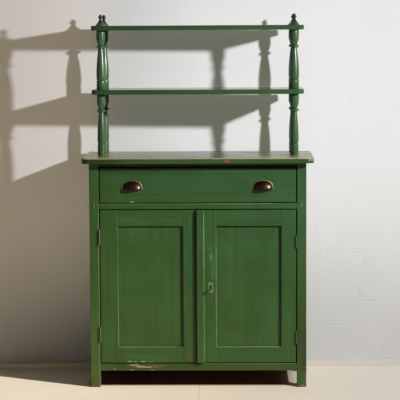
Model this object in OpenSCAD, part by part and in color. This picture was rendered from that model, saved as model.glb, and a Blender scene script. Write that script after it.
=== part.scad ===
// Kitchen dresser: drawer over a two-door cupboard, with an open two-tier rack on turned columns.
// Millimetres, +Z up, front towards -Y, origin on the floor under the middle of the worktop.

/* [Worktop] */
// Width of the worktop, end to end
top_w = 984; // [900:1:1200]
// Depth of the worktop, front to back
top_d = 444; // [420:1:560]
// Thickness of the worktop
top_t = 23; // [20:1:36]
// Radius of its two front corners, seen from above
top_corner_r = 34; // [12:1:60]
// Radius of the worn roundover along its upper front and end edges
top_edge_r = 4; // [1:0.5:8]
// How far it stands out past the fronts of the posts
overhang_front = 43; // [28:1:50]
// How far it stands out past each end of the carcase
overhang_end = 32; // [20:1:50]
// How far it stands out behind the carcase
overhang_back = 10; // [0:1:24]

/* [Carcase] */
// Side of a square post
post_s = 40; // [38:1:60]
// Clear height under the bottom rail
foot_h = 72; // [50:1:120]
// Height of the bottom front rail
bottom_rail_h = 30; // [26:1:60]
// Thickness of the bottom front rail, front to back
bottom_rail_t = 22; // [20:1:30]
// Height of the rail between the drawer and the doors
mid_rail_h = 23; // [20:1:40]
// Depth of the mid and top front rails, front to back
front_rail_d = 34; // [30:1:40]
// Thickness of the top front rail
top_rail_t = 14; // [12:1:24]
// How far the top front rail sits behind the fronts of the posts
top_rail_setback = 6; // [0:1:6]
// Gap above and below the doors and the drawer front
front_gap = 4.5; // [2:0.5:6]
// Gap at each end of the drawer front and on the hinge side of each door
side_gap = 5; // [4.8:0.1:7]
// Thickness of a side panel
side_t = 16; // [12:1:18]
// How far a side panel sits in from the outer faces of its posts
side_inset = 12; // [6:1:14]
// Depth of the grooves that hold the side panels and back boards
groove_d = 8; // [5:1:10]
// Thickness of a back board
back_t = 12; // [8:1:14]
// Number of back boards
back_boards = 3;
// Width of the half-lap between two back boards
back_lap = 9; // [6:1:14]
// Height of a back rail
back_rail_h = 40; // [30:1:70]
// Thickness of a back rail, front to back
back_rail_t = 18; // [16:1:24]
// Thickness of the cupboard floor
floor_t = 14; // [12:1:20]
// Thickness of the inner shelf
inner_shelf_t = 16; // [12:1:22]
// Height of the inner shelf above the cupboard floor
inner_shelf_lift = 338; // [200:1:450]
// Setback of the inner shelf behind the doors
inner_shelf_setback = 60; // [30:1:150]
// Depth of the housings that hold the floor and the shelf in the side panels
housing_d = 5; // [3:1:8]

/* [Joinery] */
// Length of the dovetails that end the mid and top rails
dovetail_l = 25; // [18:1:30]
// Height of the mid rail's dovetail where it leaves the rail
dovetail_neck = 17; // [12:1:20]
// Depth of the mid rail's dovetail, front to back
dovetail_d = 20; // [12:1:26]
// Width of the top rail's dovetails where they leave the rail
top_dovetail_neck = 16; // [12:1:20]
// Width of the top rail's dovetails at their ends
top_dovetail_tip = 22; // [16:1:22]
// Length of the tenons of the bottom and back rails
tenon_l = 22; // [15:1:30]
// Thickness of the bottom rail's tenons
tenon_t = 8; // [6:1:10]
// Thickness of the back rails' tenons, which pass between the post's two grooves
back_tenon_t = 6; // [4:1:7]
// Shoulder above and below a tenon
tenon_shoulder = 4; // [3:1:7]
// Clearance around a glued tenon, dovetail or panel edge
glue_gap = 0.15; // [0.1:0.05:0.4]

/* [Doors] */
// Height of both doors
door_h = 654; // [560:1:760]
// Thickness of the door frames
door_t = 22; // [20:1:28]
// Where the doors meet, from the middle of the carcase
meeting_x = -7.5; // [-20:0.5:20]
// Gap between the two doors
meeting_gap = 2; // [1.6:0.1:3]
// Left door: width of the hinge stile
left_hinge_stile_w = 76; // [60:1:90]
// Left door: width of the meeting stile
left_meeting_stile_w = 54; // [50:1:80]
// Right door: width of the meeting stile
right_meeting_stile_w = 85; // [80:1:100]
// Right door: width of the hinge stile
right_hinge_stile_w = 61; // [50:1:90]
// Height of the doors' top and bottom rails
door_rail_h = 68; // [50:1:100]
// Length of the tenons of the door rails
door_tenon_l = 38; // [25:1:44]
// Thickness of a door panel
panel_t = 7; // [5:1:8]
// How far a panel sits behind the face of its frame
panel_recess = 10; // [7:1:11]
// Depth of the panel grooves in the frames
panel_groove_d = 9; // [6:1:12]
// Room left for a panel to move in its grooves, each side
panel_room = 1; // [0.5:0.5:3]
// Width of the meeting strip on the right door
strip_w = 34; // [24:1:44]
// How far the strip stands out from the door
strip_t = 14; // [8:1:18]
// Radius of the strip's two front edges
strip_edge_r = 3; // [1:0.5:5]

/* [Hinges] */
// Length of the left door's hinges
left_hinge_l = 64; // [48:1:80]
// Length of the right door's hinges
right_hinge_l = 54; // [42:1:80]
// Left door: middle of the upper hinge below the door's top
left_hinge_drop = 115; // [80:1:150]
// Left door: middle of the lower hinge above the door's foot
left_hinge_lift = 122; // [80:1:150]
// Right door: middle of the upper hinge below the door's top
right_hinge_drop = 136; // [80:1:150]
// Right door: middle of the lower hinge above the door's foot
right_hinge_lift = 108; // [80:1:150]
// Diameter of a hinge knuckle
knuckle_d = 7.8; // [7:0.2:9]
// Thickness of a hinge leaf
leaf_t = 1.8; // [1.2:0.1:2.2]
// Width of a hinge leaf along the edge of the door
leaf_w = 19; // [14:1:19]
// Diameter of a hinge pin
pin_d = 3; // [2.4:0.2:4]
// Radial clearance of a pin in its knuckles
pin_fit = 0.06; // [0.03:0.01:0.09]
// Gap between two knuckles of a hinge
knuckle_gap = 0.4; // [0.3:0.1:0.8]
// Gap between the knuckles and the faces behind them
knuckle_stand = 0.5; // [0.3:0.1:1]

/* [Drawer] */
// Height of the drawer front
drawer_h = 149; // [110:1:200]
// Thickness of the drawer front
drawer_front_t = 20; // [18:1:26]
// Thickness of the drawer sides and back
drawer_side_t = 12; // [10:1:15]
// Height of the drawer sides
drawer_side_h = 138; // [90:1:140]
// Length of the drawer, front to back
drawer_l = 338; // [280:1:360]
// Thickness of the drawer bottom
drawer_bottom_t = 6; // [4:1:9]
// Height of the drawer bottom above the lower edge of the sides
drawer_bottom_lift = 8; // [6:1:14]
// Depth of the grooves that hold the drawer bottom and back
drawer_groove_d = 5; // [3:1:6]
// How far the drawer back stands in from the ends of the sides
drawer_back_inset = 8; // [4:1:20]
// Depth of the dovetails that join the sides to the front
drawer_tail_l = 14; // [10:1:16]
// Number of dovetails at each front corner
drawer_tails = 3; // [2:1:4]
// How much a drawer dovetail widens on each side
drawer_tail_flare = 3; // [1:0.5:4]
// Clearance between the drawer sides and the runners under them
runner_gap = 0.3; // [0.3:0.1:0.6]
// Thickness of the runner under a drawer side
runner_t = 18; // [12:1:24]
// How far a runner reaches in past the drawer side
runner_reach = 8; // [0:1:20]
// Height of the guide beside the drawer side
guide_h = 20; // [10:1:40]
// Clearance between the drawer side and its guide
guide_gap = 2; // [0.5:0.5:4]

/* [Cup pulls] */
// Width of a cup pull
pull_w = 80; // [70:1:110]
// Height of a cup pull
pull_h = 37; // [32:1:50]
// How far a cup pull stands out
pull_out = 21; // [18:1:25]
// Wall of a cup pull
pull_wall = 2; // [1.5:0.5:3]
// Width of the flange round a cup pull
flange_w = 3; // [2:0.5:5]
// Thickness of the flange
flange_t = 1.5; // [1:0.5:2.5]
// Middle of a pull from the end of the drawer front
pull_inset = 138; // [90:1:250]
// Open lower edge of a pull above the drawer front's lower edge
pull_lift = 54.5; // [30:0.5:80]

/* [Lock] */
// Key's axis from the right door's meeting edge
lock_backset = 60; // [50:1:64]
// Key's axis above the door's foot
lock_lift = 317.5; // [250:0.5:400]
// Width of the lock case
case_w = 78; // [70:1:82]
// Height of the lock case
case_h = 66; // [56:1:90]
// Thickness of the lock case
case_t = 13; // [12:1:16]
// Wall of the lock case
case_wall = 1.5; // [1:0.5:2]
// Key's axis above the lower edge of the lock case
case_drop = 24; // [18:1:30]
// How far the bolt is thrown
bolt_throw = 8; // [6:0.5:9]
// Height of the bolt
bolt_h = 17; // [12:1:20]
// Thickness of the bolt
bolt_t = 3.2; // [2.5:0.1:4]
// Width of the escutcheon plate
plate_w = 22; // [18:1:28]
// Height of the escutcheon plate
plate_h = 44; // [36:1:56]
// Thickness of the escutcheon plate
plate_t = 2; // [1.5:0.5:2.5]
// Height of the keyhole's slot above the key's axis
keyhole_h = 17; // [12:1:20]
// Width of the keyhole's slot
keyhole_slot_w = 4.5; // [4:0.5:5.5]
// Diameter of the key's shaft
key_d = 6; // [5:0.5:7]
// How far the key stands out from the face of the door
key_out = 28; // [24:1:29]
// Outer diameter of the key's bow
bow_d = 21; // [18:1:24]
// Diameter of the bow's round wire
bow_wire_d = 3.8; // [3:0.2:5]
// Reach of the key's bit from the key's axis
bit_reach = 9; // [8:0.5:10]

/* [Rack] */
// Column axes in from each end of the worktop
rack_inset = 79; // [60:1:120]
// Front column axes behind the worktop's front edge
rack_setback = 160; // [120:1:200]
// Front column axes to back column axes
rack_d = 195; // [150:1:210]
// Height of a lower column between the worktop and the middle shelf
lower_col_h = 264; // [230:1:340]
// Height of an upper column between the two shelves
upper_col_h = 252; // [225:1:320]
// Thickness of both rack shelves
shelf_t = 20; // [16:1:26]
// How far the shelves run past the column axes all round
shelf_margin = 39.5; // [26:0.5:50]
// Size of the cut-off corners of the shelves
shelf_chamfer = 19.5; // [6:0.5:24]

/* [Turning] */
// Diameter of the straight drum under each shelf
drum_d = 37.5; // [30:1:46]
// Height of that drum and its taper, from the ring to the shelf
drum_h = 64; // [50:1:90]
// Diameter of the waist just above the ring
waist_d = 25.5; // [20:1:30]
// Diameter of the ring
ring_d = 38.5; // [30:0.5:46]
// Height of the ring
ring_h = 12; // [7:1:14]
// Diameter of the neck just under the ring
neck_d = 21; // [18:0.5:26]
// Height of the long flare from its groove up to the neck
flare_h = 134; // [110:1:170]
// Greatest diameter of an upper column's flare
upper_flare_d = 39.5; // [30:0.5:44]
// Greatest diameter of a lower column's flare
lower_flare_d = 36; // [28:0.5:42]
// Diameter of an upper column's foot block
upper_block_d = 38.5; // [28:0.5:44]
// Diameter of a lower column's foot block
lower_block_d = 35; // [28:0.5:42]
// Width of the turned grooves
groove_w = 3; // [2:0.5:5]
// Depth of the turned grooves
turned_groove_d = 3; // [1:0.5:4]
// Height of the foot ring under a lower column's block
foot_ring_h = 8; // [5:1:14]
// Diameter of the pegs that join the columns through the shelves
peg_d = 14; // [10:1:16]
// How far a peg enters the next piece
peg_l = 14; // [8:1:18]
// Height of a finial
finial_h = 49; // [40:1:70]
// Diameter of a finial's foot
finial_foot_d = 44; // [34:1:50]
// Diameter of a finial's neck
finial_neck_d = 9; // [7:0.5:12]
// Diameter of a finial's acorn
acorn_d = 17; // [12:0.5:20]
// Height of a finial's acorn
acorn_h = 21; // [16:1:28]

/* [Hidden] */
$fn = 64;
eps = 0.01;

// Heights, floor upwards
bottom_rail_top = foot_h + bottom_rail_h;
door_z = bottom_rail_top + front_gap;
door_top = door_z + door_h;
mid_rail_z = door_top + front_gap;
drawer_z = mid_rail_z + mid_rail_h + front_gap;
drawer_top = drawer_z + drawer_h;
top_rail_z = drawer_top + front_gap;
post_h = top_rail_z + top_rail_t;
top_z = post_h + top_t;
mid_shelf_z = top_z + lower_col_h;
top_shelf_z = mid_shelf_z + shelf_t + upper_col_h;
finial_z = top_shelf_z + shelf_t;
floor_z = bottom_rail_top - floor_t;
inner_shelf_z = bottom_rail_top + inner_shelf_lift;

// Plan
half_w = top_w / 2 - overhang_end;
open_x = half_w - post_s;
front_y = -top_d / 2 + overhang_front;
back_y = top_d / 2 - overhang_back;
front_post_y1 = front_y + post_s;
top_rail_y = front_y + top_rail_setback;
back_post_y0 = back_y - post_s;
side_x0 = half_w - side_inset - side_t;
side_x1 = half_w - side_inset;
board_y0 = back_post_y0 + back_rail_t;
board_y1 = board_y0 + back_t;
back_rail_z0 = floor_z - back_rail_h;
drawer_x = open_x - side_gap;
door_y1 = front_y + door_t;

// Doors
left_door_x0 = -open_x + side_gap;
left_door_x1 = meeting_x - meeting_gap / 2;
right_door_x0 = meeting_x + meeting_gap / 2;
right_door_x1 = open_x - side_gap;
panel_y0 = front_y + panel_recess;

// Hinge axes stand in front of the doors, in the middle of the side gap
hinge_x = open_x - side_gap / 2;
hinge_y = front_y - knuckle_stand - knuckle_d / 2;

// Lock
lock_x = right_door_x0 + lock_backset;
lock_z = door_z + lock_lift;
case_x0 = right_door_x0 + 1.5;
case_z0 = lock_z - case_drop;
bolt_y = door_y1 + case_wall + 1;
bolt_z0 = lock_z + 0.6 * bit_reach;
bolt_x0 = case_x0 - 0.5;
bolt_x1 = case_x0 + case_w - case_wall - 1;
stud_x = bolt_x0 + 20;
stud_z = bolt_z0 + bolt_h - 5;

// Rack
col_x = top_w / 2 - rack_inset;
col_y0 = -top_d / 2 + rack_setback;
col_y1 = col_y0 + rack_d;

// Shared shapes

// A box from its low corner to its high corner
module block(p, q) {
    translate(p) cube([q[0] - p[0], q[1] - p[1], q[2] - p[2]]);
}

// Puts children at x and again mirrored at -x
module both_sides() {
    children();
    mirror([1, 0, 0]) children();
}

// side = -1 draws children as modelled on the right, mirrored to the left
module on_side(side) {
    if (side < 0) mirror([1, 0, 0]) children();
    else children();
}

module paint() { color([0.24, 0.36, 0.22]) children(); }
module bare() { color([0.72, 0.56, 0.38]) children(); }
module bronze() { color([0.30, 0.20, 0.14]) children(); }
module iron() { color([0.35, 0.34, 0.33]) children(); }

// Worktop

// Section through the worktop's edge: x is the distance out from the line of the corner centres
module top_section(inner) {
    polygon(concat([[inner, 0], [top_corner_r, 0]],
                   [for (i = [0 : 6]) [top_corner_r - top_edge_r + top_edge_r * cos(15 * i),
                                       top_t - top_edge_r + top_edge_r * sin(15 * i)]],
                   [[inner, top_t]]));
}

// A core with the edge section run along the front and both ends, and turned round each front corner
module worktop() {
    w = top_w / 2 - top_corner_r;
    y0 = -top_d / 2 + top_corner_r;
    paint() translate([0, 0, post_h]) difference() {
        union() {
            block([-w, y0, 0], [w, top_d / 2, top_t]);
            translate([w, y0, 0]) rotate([90, 0, -90]) linear_extrude(2 * w) top_section(-1);
            both_sides() {
                translate([w, top_d / 2, 0]) rotate([90, 0, 0])
                    linear_extrude(top_d / 2 - y0) top_section(-1);
                translate([w, y0, 0]) rotate([0, 0, -90]) rotate_extrude(angle = 90) top_section(0);
            }
        }
        at_columns() translate([0, 0, top_t - peg_l - 1])
            cylinder(d = peg_d + 2 * glue_gap, h = peg_l + 2);
    }
}

// Carcase

// Plan of a rail's end dovetail: it starts at x = 0 and widens as it goes
module dovetail(neck, tip, length) {
    polygon([[0, -neck / 2], [length, -tip / 2], [length, tip / 2], [0, neck / 2]]);
}

// Dovetail of the mid rail as seen from the front, grown by the clearance
module mid_dovetail(fit) {
    translate([open_x - eps, front_y - eps, mid_rail_z + mid_rail_h / 2]) rotate([90, 0, 0])
        translate([0, 0, -dovetail_d - fit])
            linear_extrude(dovetail_d + fit)
                dovetail(dovetail_neck + 2 * fit, mid_rail_h + 2 * fit, dovetail_l + fit);
}

// Dovetail of the top rail as seen from above
module top_dovetail(fit) {
    translate([open_x - eps, top_rail_y + 2 + top_dovetail_tip / 2, top_rail_z - fit])
        linear_extrude(top_rail_t + fit + (fit > 0 ? 1 : 0))
            dovetail(top_dovetail_neck + 2 * fit, top_dovetail_tip + 2 * fit, dovetail_l + fit);
}

// Tenon on the right end of a rail that fills z0 to z1, with the tenon's front face at y
module tenon(y, thick, z0, z1, fit) {
    block([open_x - eps, y - fit, z0 + tenon_shoulder - fit],
          [open_x + tenon_l + fit, y + thick + fit, z1 - tenon_shoulder + fit]);
}

bottom_tenon_y = front_y + (bottom_rail_t - tenon_t) / 2;
back_tenon_y = back_post_y0 + groove_d + 2;

module front_post(side) {
    paint() on_side(side) difference() {
        block([open_x, front_y, 0], [half_w, front_post_y1, post_h]);
        block([side_x0 - glue_gap, front_post_y1 - groove_d, foot_h],
              [side_x1 + glue_gap, front_post_y1 + 1, post_h + 1]);
        mid_dovetail(glue_gap);
        top_dovetail(glue_gap);
        tenon(bottom_tenon_y, tenon_t, foot_h, bottom_rail_top, glue_gap);
    }
}

module back_post(side) {
    paint() on_side(side) difference() {
        block([open_x, back_post_y0, 0], [half_w, back_y, post_h]);
        block([side_x0 - glue_gap, back_post_y0 - 1, foot_h],
              [side_x1 + glue_gap, back_post_y0 + groove_d, post_h + 1]);
        block([open_x - 1, board_y0 - glue_gap, back_rail_z0],
              [open_x + groove_d, board_y1 + glue_gap, post_h + 1]);
        tenon(back_tenon_y, back_tenon_t, back_rail_z0, floor_z, glue_gap);
        tenon(back_tenon_y, back_tenon_t, post_h - back_rail_h, post_h, glue_gap);
    }
}

module top_front_rail() {
    paint() union() {
        block([-open_x, top_rail_y, top_rail_z], [open_x, top_rail_y + front_rail_d, post_h]);
        both_sides() top_dovetail(0);
    }
}

module mid_front_rail() {
    paint() union() {
        block([-open_x, front_y, mid_rail_z], [open_x, front_y + front_rail_d, mid_rail_z + mid_rail_h]);
        both_sides() mid_dovetail(0);
    }
}

module bottom_front_rail() {
    paint() difference() {
        union() {
            block([-open_x, front_y, foot_h], [open_x, front_y + bottom_rail_t, bottom_rail_top]);
            both_sides() tenon(bottom_tenon_y, tenon_t, foot_h, bottom_rail_top, 0);
        }
        floor_board(glue_gap);
    }
}

module back_rail(z0) {
    bare() union() {
        block([-open_x, back_post_y0, z0], [open_x, board_y0, z0 + back_rail_h]);
        both_sides() tenon(back_tenon_y, back_tenon_t, z0, z0 + back_rail_h, 0);
    }
}

// A board across the cupboard: housed in the side panels and notched round the posts
module cross_board(y0, z, t, fit) {
    narrow = open_x - glue_gap + fit;
    wide = side_x0 + housing_d + fit;
    translate([0, 0, z - fit]) linear_extrude(t + 2 * fit) union() {
        translate([-narrow, y0 - fit]) square([2 * narrow, board_y0 - y0 + fit]);
        yw = max(y0, front_post_y1 + glue_gap);
        translate([-wide, yw - fit]) square([2 * wide, back_post_y0 - glue_gap - yw + 2 * fit]);
    }
}

module floor_board(fit) {
    cross_board(front_y + bottom_rail_t - 8, floor_z, floor_t, fit);
}

module shelf_board(fit) {
    cross_board(door_y1 + inner_shelf_setback, inner_shelf_z, inner_shelf_t, fit);
}

module cupboard_floor() {
    bare() floor_board(0);
}

module inner_shelf() {
    bare() shelf_board(0);
}

module side_panel(side) {
    paint() on_side(side) difference() {
        block([side_x0, front_post_y1 - groove_d + glue_gap, foot_h],
              [side_x1, back_post_y0 + groove_d - glue_gap, post_h]);
        floor_board(glue_gap);
        shelf_board(glue_gap);
    }
}

// Back boards run up and down, half-lapped along their edges; n counts from the left
module back_board(n) {
    full = 2 * (open_x + groove_d - glue_gap);
    pitch = full / back_boards;
    x0 = -full / 2 + n * pitch;
    bare() difference() {
        block([x0 - (n > 0 ? back_lap / 2 : 0), board_y0, back_rail_z0],
              [x0 + pitch + (n < back_boards - 1 ? back_lap / 2 : 0), board_y1, post_h]);
        if (n > 0)
            block([x0 - back_lap, board_y0 - 1, back_rail_z0 - 1],
                  [x0 + back_lap / 2 + glue_gap, board_y0 + back_t / 2 + glue_gap / 2, post_h + 1]);
        if (n < back_boards - 1)
            block([x0 + pitch - back_lap / 2 - glue_gap, board_y0 + back_t / 2 - glue_gap / 2,
                   back_rail_z0 - 1],
                  [x0 + pitch + back_lap, board_y1 + 1, post_h + 1]);
    }
}

runner_top = drawer_z - runner_gap;

module drawer_runner(side) {
    inner = drawer_x - drawer_side_t - runner_reach;
    bare() on_side(side) union() {
        block([inner, front_y + front_rail_d, runner_top - runner_t],
              [open_x, back_post_y0, runner_top]);
        block([open_x - eps, front_post_y1, runner_top - runner_t],
              [side_x0, back_post_y0, runner_top]);
        block([drawer_x + guide_gap, front_post_y1, runner_top - eps],
              [side_x0, back_post_y0, runner_top + guide_h]);
    }
}

// Drawer

drawer_front_y1 = front_y + drawer_front_t;
drawer_y1 = front_y + drawer_l;
side_in_x = drawer_x - drawer_side_t;
drawer_floor_z = drawer_z + drawer_bottom_lift;
drawer_back_y0 = drawer_y1 - drawer_back_inset - drawer_side_t;

// The dovetails at the front end of the right-hand side, seen from the side of the drawer
module drawer_tails(fit) {
    pitch = drawer_side_h / drawer_tails;
    tip = pitch * 0.62 + 2 * fit;
    base = tip - 2 * drawer_tail_flare;
    for (i = [0 : drawer_tails - 1])
        translate([side_in_x - fit, drawer_front_y1 + eps, drawer_z + (i + 0.5) * pitch])
            rotate([90, 0, 90]) mirror([1, 0, 0])
                linear_extrude(drawer_side_t + fit + (fit > 0 ? 1 : 0))
                    dovetail(base, tip, drawer_tail_l + fit + eps);
}

module drawer_bottom_board(fit) {
    block([-side_in_x - drawer_groove_d + glue_gap - fit,
           drawer_front_y1 - drawer_groove_d + glue_gap - fit, drawer_floor_z - fit],
          [side_in_x + drawer_groove_d - glue_gap + fit, drawer_y1 + (fit > 0 ? 1 : 0),
           drawer_floor_z + drawer_bottom_t + fit]);
}

module drawer_back_board(fit) {
    block([-side_in_x - drawer_groove_d + glue_gap - fit, drawer_back_y0 - fit,
           drawer_floor_z + drawer_bottom_t],
          [side_in_x + drawer_groove_d - glue_gap + fit, drawer_back_y0 + drawer_side_t + fit,
           drawer_z + drawer_side_h - 6 + (fit > 0 ? 20 : 0)]);
}

module drawer_front() {
    paint() difference() {
        block([-drawer_x, front_y, drawer_z], [drawer_x, drawer_front_y1, drawer_top]);
        both_sides() drawer_tails(glue_gap);
        drawer_bottom_board(glue_gap);
    }
}

module drawer_side(side) {
    bare() on_side(side) difference() {
        union() {
            block([side_in_x, drawer_front_y1, drawer_z],
                  [drawer_x, drawer_y1, drawer_z + drawer_side_h]);
            drawer_tails(0);
        }
        drawer_bottom_board(glue_gap);
        drawer_back_board(glue_gap);
    }
}

module drawer_back() {
    bare() drawer_back_board(0);
}

module drawer_bottom() {
    bare() drawer_bottom_board(0);
}

// A cup pull is turned about a line behind the drawer's face, so that it meets the face all round.
// Its axis lies pull_axis behind the face; the wall bulges by a half ellipse along its width.
pull_axis = (pull_h * pull_h - pull_out * pull_out) / (2 * pull_out);
pull_steps = 24;

function pull_bulge(i, w, out) = [w / 2 * -cos(180 * i / pull_steps),
                                  pull_axis + out * sin(180 * i / pull_steps)];

function pull_curve(w, out) = [for (i = [0 : pull_steps]) pull_bulge(i, w, out)];

// Outline of the pull where it meets the face of the drawer
function face_outline(w, out) = [for (p = pull_curve(w, out))
    [p[0], sqrt(max(0, p[1] * p[1] - pull_axis * pull_axis))]];

module pull_bowl(w, out) {
    rotate([0, 90, 0]) rotate([0, 0, 180]) rotate_extrude(angle = 90)
        polygon([for (p = concat([[-w / 2, 0]], pull_curve(w, out), [[w / 2, 0]])) [p[1], p[0]]]);
}

module cup_pull(side) {
    flange_h = pull_h + flange_w;
    bronze() on_side(side)
        translate([drawer_x - pull_inset, front_y, drawer_z + pull_lift]) union() {
            intersection() {
                translate([0, pull_axis, 0]) difference() {
                    pull_bowl(pull_w, pull_out);
                    pull_bowl(pull_w - 2 * pull_wall, pull_out - pull_wall);
                }
                block([-pull_w, -pull_out - 1, 0], [pull_w, 0, flange_h]);
            }
            rotate([90, 0, 0]) linear_extrude(flange_t) difference() {
                pull_outline(flange_w);
                pull_outline(-pull_wall);
                translate([-pull_w, -pull_h]) square([2 * pull_w, pull_h]);
            }
        }
}

// The pull's outline on the face, grown or shrunk by moving its points out from its foot
module pull_outline(grow) {
    polygon([for (p = face_outline(pull_w, pull_out))
        [p[0] * (1 + 2 * grow / pull_w), p[1] * (1 + grow / pull_h)]]);
}

// Doors

// Groove for the panel: the door's own frame opening, grown by the groove's depth
module panel_space(x0, x1, room, fit) {
    grow = panel_groove_d - room;
    block([x0 - grow, panel_y0 - fit, door_z + door_rail_h - grow],
          [x1 + grow, panel_y0 + panel_t + fit, door_top - door_rail_h + grow]);
}

// Tenon of a door rail that starts at z, drawn from x inwards to the stile by length
module door_tenon(x, dir, z, fit) {
    x1 = x + dir * (door_tenon_l + fit);
    block([min(x, x1) - (dir < 0 ? 0 : eps), panel_y0 - fit, z + panel_groove_d + 1 - fit],
          [max(x, x1) + (dir > 0 ? 0 : eps), panel_y0 + panel_t + fit,
           z + door_rail_h - panel_groove_d - 1 + fit]);
}

// A stile between x0 and x1; inner is the face that looks at the panel, dir points from panel to stile
module door_stile(x0, x1, inner, dir) {
    difference() {
        block([x0, front_y, door_z], [x1, door_y1, door_top]);
        block([inner - panel_groove_d, panel_y0 - glue_gap, door_z + door_rail_h - panel_groove_d],
              [inner + panel_groove_d, panel_y0 + panel_t + glue_gap,
               door_top - door_rail_h + panel_groove_d]);
        door_tenon(inner, dir, door_z, glue_gap);
        door_tenon(inner, dir, door_top - door_rail_h, glue_gap);
    }
}

// A rail between the stiles at x0 and x1, with its groove on the panel's side
module door_rail(x0, x1, z) {
    difference() {
        union() {
            block([x0, front_y, z], [x1, door_y1, z + door_rail_h]);
            door_tenon(x0, -1, z, 0);
            door_tenon(x1, 1, z, 0);
        }
        difference() {
            panel_space(x0, x1, 0, glue_gap);
            block([x0 - 99, front_y, z], [x0, door_y1, z + door_rail_h]);
            block([x1, front_y, z], [x1 + 99, door_y1, z + door_rail_h]);
        }
    }
}

left_panel_x0 = left_door_x0 + left_hinge_stile_w;
left_panel_x1 = left_door_x1 - left_meeting_stile_w;
right_panel_x0 = right_door_x0 + right_meeting_stile_w;
right_panel_x1 = right_door_x1 - right_hinge_stile_w;

module left_door_hinge_stile() {
    paint() door_stile(left_door_x0, left_panel_x0, left_panel_x0, -1);
}

module left_door_meeting_stile() {
    paint() door_stile(left_panel_x1, left_door_x1, left_panel_x1, 1);
}

module left_door_top_rail() {
    paint() door_rail(left_panel_x0, left_panel_x1, door_top - door_rail_h);
}

module left_door_bottom_rail() {
    paint() door_rail(left_panel_x0, left_panel_x1, door_z);
}

module left_door_panel() {
    paint() panel_space(left_panel_x0, left_panel_x1, panel_room, 0);
}

module right_door_hinge_stile() {
    paint() door_stile(right_panel_x1, right_door_x1, right_panel_x1, 1);
}

module right_door_meeting_stile() {
    paint() difference() {
        door_stile(right_door_x0, right_panel_x0, right_panel_x0, -1);
        translate([lock_x, door_y1 + 1, lock_z]) rotate([90, 0, 0])
            linear_extrude(door_t + 2) keyhole();
    }
}

module right_door_top_rail() {
    paint() door_rail(right_panel_x0, right_panel_x1, door_top - door_rail_h);
}

module right_door_bottom_rail() {
    paint() door_rail(right_panel_x0, right_panel_x1, door_z);
}

module right_door_panel() {
    paint() panel_space(right_panel_x0, right_panel_x1, panel_room, 0);
}

// Strip on the right door's meeting edge, with its two front edges rounded
module meeting_strip() {
    paint() translate([right_door_x0, front_y, door_z]) linear_extrude(door_h) mirror([0, 1]) {
        square([strip_w, strip_t - strip_edge_r]);
        translate([strip_edge_r, 0]) square([strip_w - 2 * strip_edge_r, strip_t]);
        for (x = [strip_edge_r, strip_w - strip_edge_r])
            translate([x, strip_t - strip_edge_r]) circle(strip_edge_r);
    }
}

// Hinges

function hinge_heights(lift, drop) = [door_z + lift, door_top - drop];

left_hinges = hinge_heights(left_hinge_lift, left_hinge_drop);
right_hinges = hinge_heights(right_hinge_lift, right_hinge_drop);

// The barrel piece from z0 to z1 with the pin's bore through it
module knuckle(z0, z1) {
    translate([hinge_x, hinge_y, z0]) difference() {
        cylinder(d = knuckle_d, h = z1 - z0);
        translate([0, 0, -1]) cylinder(d = pin_d + 2 * pin_fit, h = z1 - z0 + 2);
    }
}

// Plate of a leaf on the face at x, running back along the gap; dir points into the gap
module leaf(x, dir, z0, z1) {
    x1 = x + dir * leaf_t;
    difference() {
        block([min(x, x1), hinge_y, z0], [max(x, x1), front_y + leaf_w, z1]);
        translate([hinge_x, hinge_y, z0 - 1]) cylinder(d = pin_d + 2 * pin_fit, h = z1 - z0 + 2);
    }
}

// Right-hand hinge parts, each a middle height and a length
module fixed_leaf(z, l) {
    third = l / 3;
    leaf(open_x, -1, z - l / 2, z - third / 2);
    leaf(open_x, -1, z + third / 2, z + l / 2);
    block([open_x - leaf_t, front_y, z - l / 2], [open_x, front_y + leaf_w, z + l / 2]);
    knuckle(z - l / 2, z - third / 2);
    knuckle(z + third / 2, z + l / 2);
}

module door_leaf(z, l) {
    half = l / 6 - knuckle_gap;
    edge = right_door_x1;
    leaf(edge, 1, z - half, z + half);
    block([edge, front_y, z - l / 2], [edge + leaf_t, front_y + leaf_w, z + l / 2]);
    knuckle(z - half, z + half);
}

module hinge_fixed_leaves(side, heights, l) {
    iron() on_side(side) for (z = heights) fixed_leaf(z, l);
}

module hinge_door_leaves(side, heights, l) {
    iron() on_side(side) for (z = heights) door_leaf(z, l);
}

module hinge_pins() {
    iron() {
        for (z = left_hinges) one_pin(-hinge_x, z, left_hinge_l);
        for (z = right_hinges) one_pin(hinge_x, z, right_hinge_l);
    }
}

// A pin with a small button head at each end of its hinge
module one_pin(x, z, l) {
    translate([x, hinge_y, z - l / 2]) {
        cylinder(d = pin_d, h = l);
        translate([0, 0, l]) cylinder(d = knuckle_d * 0.7, h = 1.2);
        translate([0, 0, -1.2]) cylinder(d = knuckle_d * 0.7, h = 1.2);
    }
}

// Lock

// Round hole for the key's shaft with a slot above it for the bit
module keyhole() {
    circle(d = key_d + 1);
    translate([-keyhole_slot_w / 2, 0]) square([keyhole_slot_w, keyhole_h - keyhole_slot_w / 2]);
    translate([0, keyhole_h - keyhole_slot_w / 2]) circle(d = keyhole_slot_w);
}

module escutcheon() {
    middle = (keyhole_h - 7) / 2;
    iron() translate([lock_x, front_y, lock_z]) rotate([90, 0, 0]) difference() {
        union() {
            translate([-plate_w / 2, middle - plate_h / 2]) linear_extrude(plate_t * 0.6)
                square([plate_w, plate_h]);
            translate([-plate_w / 2 + 1.5, middle - plate_h / 2 + 1.5]) linear_extrude(plate_t)
                square([plate_w - 3, plate_h - 3]);
        }
        translate([0, 0, -1]) linear_extrude(plate_t + 2) keyhole();
    }
}

bolt_cavity = [bolt_z0 - 0.4, bolt_z0 + bolt_h + 0.4];

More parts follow.
